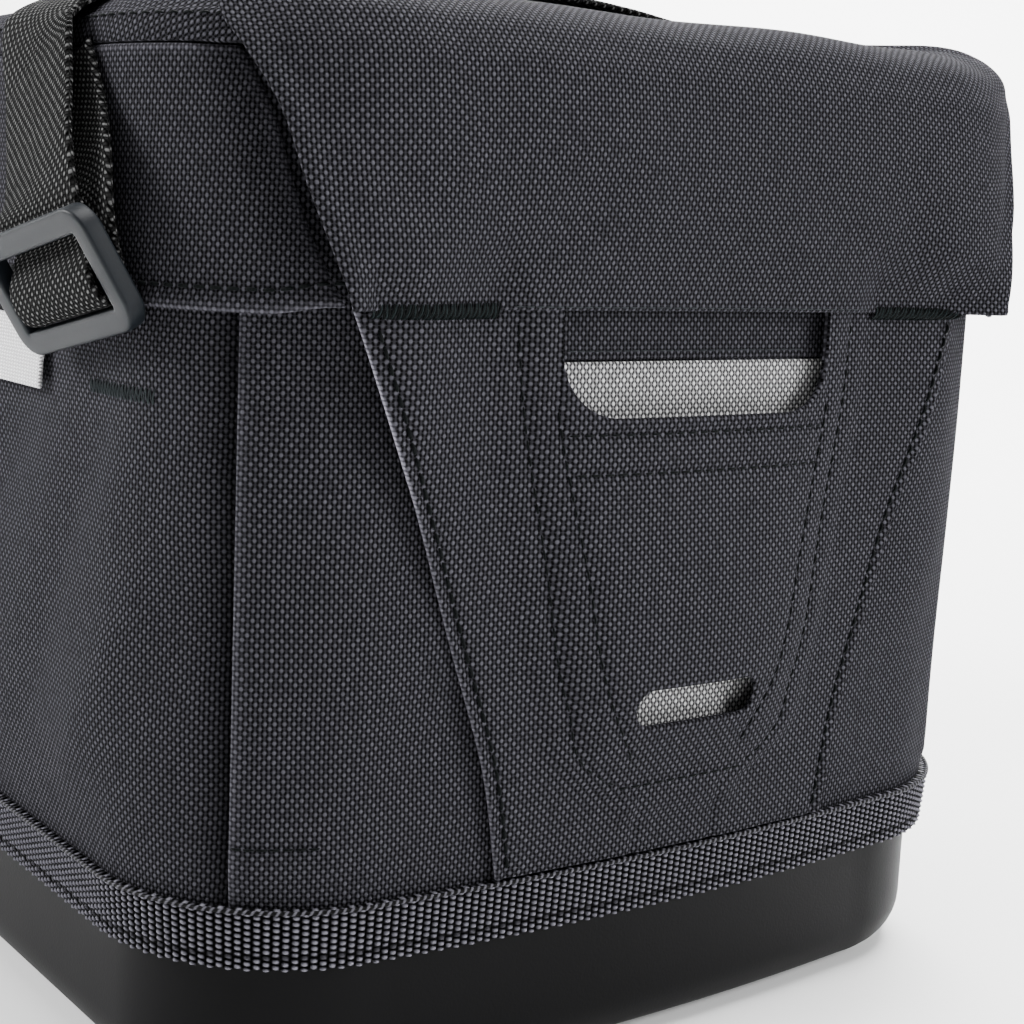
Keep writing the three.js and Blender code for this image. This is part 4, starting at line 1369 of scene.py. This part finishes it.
def strap(name, node, mirror):
    track, cross, run = curve_through(*strap_line(), STRAP_STEP)
    thick = unit(np.cross(unit(np.gradient(track, axis=0)), cross))
    half = STRAP_WIDTH / 2
    w = stations(-half, half, 1.6, fine=(0.0, 0.12, 0.35, 0.7, 1.3))
    loops = LOOP_HEIGHT * np.sin(2 * PI * run / LOOP_PITCH)[:, None]
    loops = loops * smoothstep(np.abs(w), half - LOOP_REACH, half)
    spot = (w + np.sign(w) * (loops - STRAP_EDGE_IN))[..., None]
    height = (WEBBING / 2 + ridges(half - np.abs(w), STRAP_EDGE))[:, None]
    outer = track[:, None] + cross[:, None] * spot + thick[:, None] * height
    piece = cloth(name, outer[::-1], WEBBING, webbing_cloth, stacked(w, run[:, None]), mirror)
    flat = (STRAP_WIDTH * MM, float(run[-1]) * MM)
    place(piece, node, "webbing", flat=flat, held="folded", rests_on=["lid_cover"])


strap("right_strap", "strap_right", SAME)
strap("left_strap", "strap_left", TO_LEFT)


# Sliders

CORNER_STEPS = 9
FRAME_SIDES = 28
FRAME_SQUARE = 0.3
BAR_RINGS = 9
BAR_SIDES = 16
BAR_SQUARE = 0.5


def rounded_path(width, height, corner):
    """Middle line of the slider's frame, and its outward directions."""
    points = []
    out = []
    for sx, sy, start in ((1, 1, 0.0), (-1, 1, 0.5), (-1, -1, 1.0), (1, -1, 1.5)):
        centre = np.array([sx * (width / 2 - corner), sy * (height / 2 - corner)])
        angle = np.linspace(start * PI, (start + 0.5) * PI, CORNER_STEPS)
        direction = stacked(np.cos(angle), np.sin(angle))
        points.append(centre + corner * direction)
        out.append(direction)
    return np.concatenate(points), np.concatenate(out)


def bar_section(width, thick, sides, power):
    """Rounded section of a bar: a square-ish oval."""
    turn = np.arange(sides) * 2 * PI / sides
    c = np.cos(turn)
    s = np.sin(turn)
    across = np.sign(c) * np.abs(c) ** power * width / 2
    through = np.sign(s) * np.abs(s) ** power * thick / 2
    return across, through


def slider(name, node, mirror):
    width = SLIDER_WIDTH - SLIDER_BAR
    path, out = rounded_path(width, SLIDER_HEIGHT - SLIDER_BAR, SLIDER_CORNER - SLIDER_BAR / 2)
    across, through = bar_section(SLIDER_BAR, SLIDER_THICK, FRAME_SIDES, FRAME_SQUARE)
    spot = path + across[:, None, None] * out
    ring = in_slider(spot[..., 0], spot[..., 1], through[:, None])
    across, through = bar_section(MIDDLE_BAR["height"], MIDDLE_BAR["thick"], BAR_SIDES, BAR_SQUARE)
    ends = np.linspace(-width / 2, width / 2, BAR_RINGS)[:, None]
    bar = in_slider(ends, MIDDLE_BAR["h"] + across, MIDDLE_BAR["n"] + through)
    start = ring.size // 3
    first = np.arange(start, start + BAR_SIDES)
    faces = grid_faces(*ring.shape[:2], RING).tolist()
    faces += grid_faces(BAR_RINGS, BAR_SIDES, TUBE, start).tolist()
    faces += [first[::-1].tolist(), (first + BAR_SIDES * (BAR_RINGS - 1)).tolist()]
    if np.prod(mirror) > 0:
        faces = [face[::-1] for face in faces]
    points = np.concatenate([ring.reshape(-1, 3), bar.reshape(-1, 3)]) * np.asarray(mirror, float)
    place(make_mesh(name, points, faces, slider_plastic), node, "slider")


slider("right_slider", "slider_right", SAME)
slider("left_slider", "slider_left", TO_LEFT)


# Sewing thread

THREAD_SIDES = 6
THREAD_TAPER = np.array([0.55, 0.95, 1.0, 0.95, 0.55])
STITCH_PITCH = 3.6
WALL_STITCH_PITCH = 2.8
FINE_PITCH = 2.6
SURFACE_STEP = 0.4
WAY_STEP = 0.5

# Length and radius of each kind of stitch
PANEL_STITCH = (3.0, 0.42)
POCKET_STITCH = (2.7, 0.27)
SEAM_STITCH = (2.4, 0.28)
BAND_STITCH = (2.3, 0.16)
HEM_STITCH = (2.7, 0.46)
FLAP_STITCH = (2.2, 0.16)
FLAP_TACK = (4.0, 0.25)
FLAP_TACK_TOP = (3.8, 0.19)
WALL_TACK = (3.4, 0.17)

# Places of the lines, by arc length, height or inset
PANEL_STITCH_INSET = 3.6
PANEL_STITCH_SPAN = (PANEL_BOTTOM + 2, HEM - 3)
POCKET_STITCH_SPAN = (POCKET_BOTTOM + 4, HEM - 3)
POCKET_FOOT_Z = POCKET_BOTTOM + 3.2
FOOT_LINE_INSET = 2.0
HEM_LINE_INSET = 1.5
INNER_STITCH_SPAN = (76, MOUTH_BOTTOM + 2)
LID_STITCH_INSET = 1.2
LID_STITCH_START = 106
WALL_STITCH_Z = 64.0
WALL_STITCH_SPAN = (-SEAM_ALONG + 0.8, -93)
BAND_STITCH_Z = LINING_TOP + 2.4
BAND_STITCH_HALF = 36
HEM_STITCH_START = 92
FLAP_STITCH_Z = HEM + 0.5
FLAP_STITCH_HALF = 54

# Bar tacks
TACK_PITCH = 0.42
TACK_TILT = 0.25
TACK_LEAN = 0.3
FLAP_TACK_LIFT = 0.5
WALL_TACK_LIFT = 0.1
FLAP_TACK_Z = (HEM + 1.5, HEM - 2.3)
WALL_TACK_Z = (160.6, 157.4)
FRONT_TACKS = -np.arange(57.5, 89.0, TACK_PITCH)[::-1]
BACK_TACKS = np.arange(59.0, 85.5, TACK_PITCH)
WALL_TACKS = np.arange(-157.4, -131.3, 1.6 * TACK_PITCH)


def sew(name, lines, size, material=dark_thread, arch=0.0):
    """Short threads that lie on the cloth along some lines and dip into it at both ends."""
    length, radius = size
    centres, ways, normals = (np.concatenate(column) for column in zip(*lines))
    side = np.cross(normals, ways)
    t = np.linspace(-1, 1, len(THREAD_TAPER))[:, None]
    lift = radius * (1.7 * (1 - t**2) - 0.45) + arch * (1 - t**2)
    middle = centres[:, None] + ways[:, None] * (t * length / 2) + normals[:, None] * lift
    turn = (np.arange(THREAD_SIDES) * 2 * PI / THREAD_SIDES)[:, None]
    ring = normals[:, None] * np.cos(turn) + side[:, None] * np.sin(turn)
    points = middle[:, :, None] + ring[:, None] * (radius * THREAD_TAPER)[:, None, None]
    each = len(THREAD_TAPER) * THREAD_SIDES
    first = np.arange(THREAD_SIDES)
    one = grid_faces(len(THREAD_TAPER), THREAD_SIDES, TUBE).tolist()
    one += [first[::-1].tolist(), (first + each - THREAD_SIDES).tolist()]
    faces = [[k * each + corner for corner in face] for k in range(len(centres)) for face in one]
    place(make_mesh(name, points.reshape(-1, 3), faces, material), None, "webbing")


def stitch_line(surface, first, second, pitch=STITCH_PITCH):
    """Places, ways and normals of stitches along a line on a surface of two coordinates."""
    second = np.broadcast_to(second, first.shape)
    run = lengths(surface(first, second), 0)
    at = np.arange(pitch / 2, run[-1], pitch)

    def spot(shift):
        return np.interp(at + shift, run, first), np.interp(at + shift, run, second)

    a, z = spot(0.0)
    across = surface(a + SURFACE_STEP, z) - surface(a - SURFACE_STEP, z)
    up = surface(a, z + SURFACE_STEP) - surface(a, z - SURFACE_STEP)
    way = surface(*spot(WAY_STEP)) - surface(*spot(-WAY_STEP))
    return surface(a, z), unit(way), unit(np.cross(across, up))


def both_sides(surface, half, z):
    return [stitch_line(surface, way * half, z) for way in (-1, 1)]


def mirrored(lines, mirror):
    flip = np.asarray(mirror, float)
    return [(point * flip, way * flip, normal * flip) for point, way, normal in lines]


def panel_stitches():
    z = np.linspace(*PANEL_STITCH_SPAN, 200)
    half = panel_half(z) - PANEL_STITCH_INSET
    right = both_sides(tool_panel_surface, half, z)
    left = both_sides(plain_panel_surface, half, z)
    sew("panel_stitches", right + mirrored(left, TO_LEFT), PANEL_STITCH)


def pocket_stitches():
    z = np.linspace(*POCKET_STITCH_SPAN, 400)
    lines = both_sides(tool_panel_surface, pocket_half(z) - OUTER_LINE_INSET, z)
    z = np.linspace(*INNER_STITCH_SPAN, 400)
    lines += both_sides(tool_panel_surface, inner_half(z), z)
    level = [(line, inner_half(line) - HEM_LINE_INSET) for line in HEM_LINES]
    level.append((POCKET_FOOT_Z, pocket_half(POCKET_STITCH_SPAN[0]) - FOOT_LINE_INSET))
    for z, half in level:
        lines.append(stitch_line(tool_panel_surface, np.linspace(-half, half, 200), z))
    sew("pocket_stitches", lines, POCKET_STITCH)


def seam_stitches():
    """Stitches above the lid's front and back seams, low on the end walls, and along the pocket's band."""
    a = np.linspace(LID_STITCH_START - HALF_ROUND, -LID_STITCH_START, 600)
    lid = [stitch_line(lid_edge, a, LID_STITCH_INSET)]
    a = np.linspace(*WALL_STITCH_SPAN, 200)
    low = [stitch_line(end_surface, a, WALL_STITCH_Z, WALL_STITCH_PITCH)]
    lines = lid + mirrored(lid, TO_BACK) + low + mirrored(low, TO_LEFT)
    sew("seam_stitches", lines, SEAM_STITCH)
    a = np.linspace(-BAND_STITCH_HALF, BAND_STITCH_HALF, 200)
    band = [stitch_line(lining_surface, a, BAND_STITCH_Z, FINE_PITCH)]
    sew("band_stitches", band, BAND_STITCH, hem_thread)


def hem_stitches():
    a = np.linspace(HEM_STITCH_START - HALF_ROUND, -HEM_STITCH_START, 600)
    front = [stitch_line(skirt_surface, a, skirt_hem(a) + SKIRT_STITCH)]
    sew("hem_stitches", front + mirrored(front, TO_BACK), HEM_STITCH)
    a = np.linspace(-FLAP_STITCH_HALF, FLAP_STITCH_HALF, 300)
    right = [stitch_line(flap_by_height, a, FLAP_STITCH_Z, FINE_PITCH)]
    sew("flap_stitches", right + mirrored(right, TO_LEFT), FLAP_STITCH, hem_thread)


def bar_tack(upper, lower, a, heights, lift):
    """Dense upright threads between two heights on two surfaces."""
    tilt = TACK_TILT * (-1.0) ** np.arange(len(a))
    high, low = heights
    top = upper(a + tilt, np.full_like(a, high))
    bottom = lower(a - tilt, np.full_like(a, low))
    way = unit(top - bottom)
    normal = unit(np.cross(np.gradient(top + bottom, axis=0), way))
    return (top + bottom) / 2 + lift * normal, way, normal


def zigzag(tacks):
    """Every third thread of some bar tacks, leaning one way and the other by turns."""
    lines = []
    for point, way, normal in tacks:
        point, way, normal = point[::3], way[::3], normal[::3]
        lean = TACK_LEAN * (-1.0) ** np.arange(len(way))[:, None]
        lines.append((point, unit(way + lean * np.cross(normal, way)), normal))
    return lines


def bar_tacks():
    tacks = []
    for panel, mirror in ((tool_panel_surface, SAME), (plain_panel_surface, TO_LEFT)):
        for a in (FRONT_TACKS, BACK_TACKS):
            tack = bar_tack(flap_by_height, panel, a, FLAP_TACK_Z, FLAP_TACK_LIFT)
            tacks += mirrored([tack], mirror)
    sew("flap_tacks", tacks, FLAP_TACK, tack_thread, arch=0.1)
    sew("flap_tack_tops", zigzag(tacks), FLAP_TACK_TOP, tack_top_thread, arch=0.3)
    front = [bar_tack(side_surface, side_surface, WALL_TACKS, WALL_TACK_Z, WALL_TACK_LIFT)]
    lines = [line for mirror in (SAME, TO_LEFT, TO_BACK, TO_LEFT_BACK) for line in mirrored(front, mirror)]
    sew("wall_tacks", lines, WALL_TACK, wall_thread)


panel_stitches()
pocket_stitches()
seam_stitches()
hem_stitches()
bar_tacks()


# Studio, in metres

FLOOR_BACK = np.array([-0.79, 0.61])
FLOOR_SIDE = np.array([0.61, 0.79])
FLOOR_NEAR = ((-3.0, 0.0), (-1.0, 0.0), (0.6, 0.0))
FLOOR_TURN = 0.9
FLOOR_WALL = ((1.8, 2.0), (1.8, 4.0))
FLOOR_HALF = 4.0
CAMERA_EYE = (0.510, -0.286, 0.200)
CAMERA_RIGHT = (0.58802, 0.80762, 0.04443)
CAMERA_UP = (-0.15577, 0.05917, 0.98602)
CAMERA_BACK = (0.79370, -0.58672, 0.16060)
CAMERA_LENS = 64.49
CAMERA_SENSOR = 36.0
AIR_LIGHT = 0.35


def studio_floor():
    """Pale floor that turns up into a backdrop behind the bag."""
    turn = np.linspace(0, PI / 2, 24)
    bend = FLOOR_TURN * stacked(1 + np.sin(turn), 1 - np.cos(turn))
    profile = np.concatenate([FLOOR_NEAR, bend, FLOOR_WALL])
    widths = np.linspace(-FLOOR_HALF, FLOOR_HALF, 9)
    points = [[*(FLOOR_BACK * d + FLOOR_SIDE * w), h] for d, h in profile for w in widths]
    faces = grid_faces(len(profile), len(widths))
    make_mesh("studio_floor", np.array(points) / MM, faces, studio_paper)


def set_pose(made, right, up, back, spot):
    columns = np.array([right, up, back, spot]).T.tolist()
    made.matrix_world = Matrix([*columns, [0, 0, 0, 1]])


def softbox(name, spot, aim, size, power):
    light = bpy.data.lights.new(name, "AREA")
    light.shape = "RECTANGLE"
    light.size, light.size_y = size
    light.energy = power
    back = unit(np.subtract(spot, aim))
    right = unit(np.cross([0.0, 0.0, 1.0], back))
    set_pose(add_object(name, light), right, np.cross(back, right), back, spot)


def camera():
    lens = bpy.data.cameras.new("camera")
    lens.sensor_width = CAMERA_SENSOR
    lens.lens = CAMERA_LENS
    lens.clip_start = 0.01
    made = add_object("camera", lens)
    set_pose(made, CAMERA_RIGHT, CAMERA_UP, CAMERA_BACK, CAMERA_EYE)
    bpy.context.scene.camera = made


def studio_air():
    world = bpy.data.worlds.new("studio_air")
    world.use_nodes = True
    air = world.node_tree.nodes["Background"].inputs
    air["Color"].default_value = (1.0, 1.0, 1.0, 1.0)
    air["Strength"].default_value = AIR_LIGHT
    bpy.context.scene.world = world


studio_floor()
softbox("left_softbox", (-1.0, -1.4, 0.95), (0.05, -0.05, 0.12), (0.8, 0.8), 86)
softbox("right_softbox", (1.35, 0.95, 0.75), (0.15, 0.05, 0.12), (0.7, 0.8), 36)
softbox("top_softbox", (0.25, 0.1, 1.5), (0.1, 0.0, 0.2), (0.9, 0.9), 56)
softbox("backdrop_light", (-0.6, 1.0, 1.6), (-1.4, 1.2, 0.2), (1.2, 0.8), 140)
camera()
studio_air()
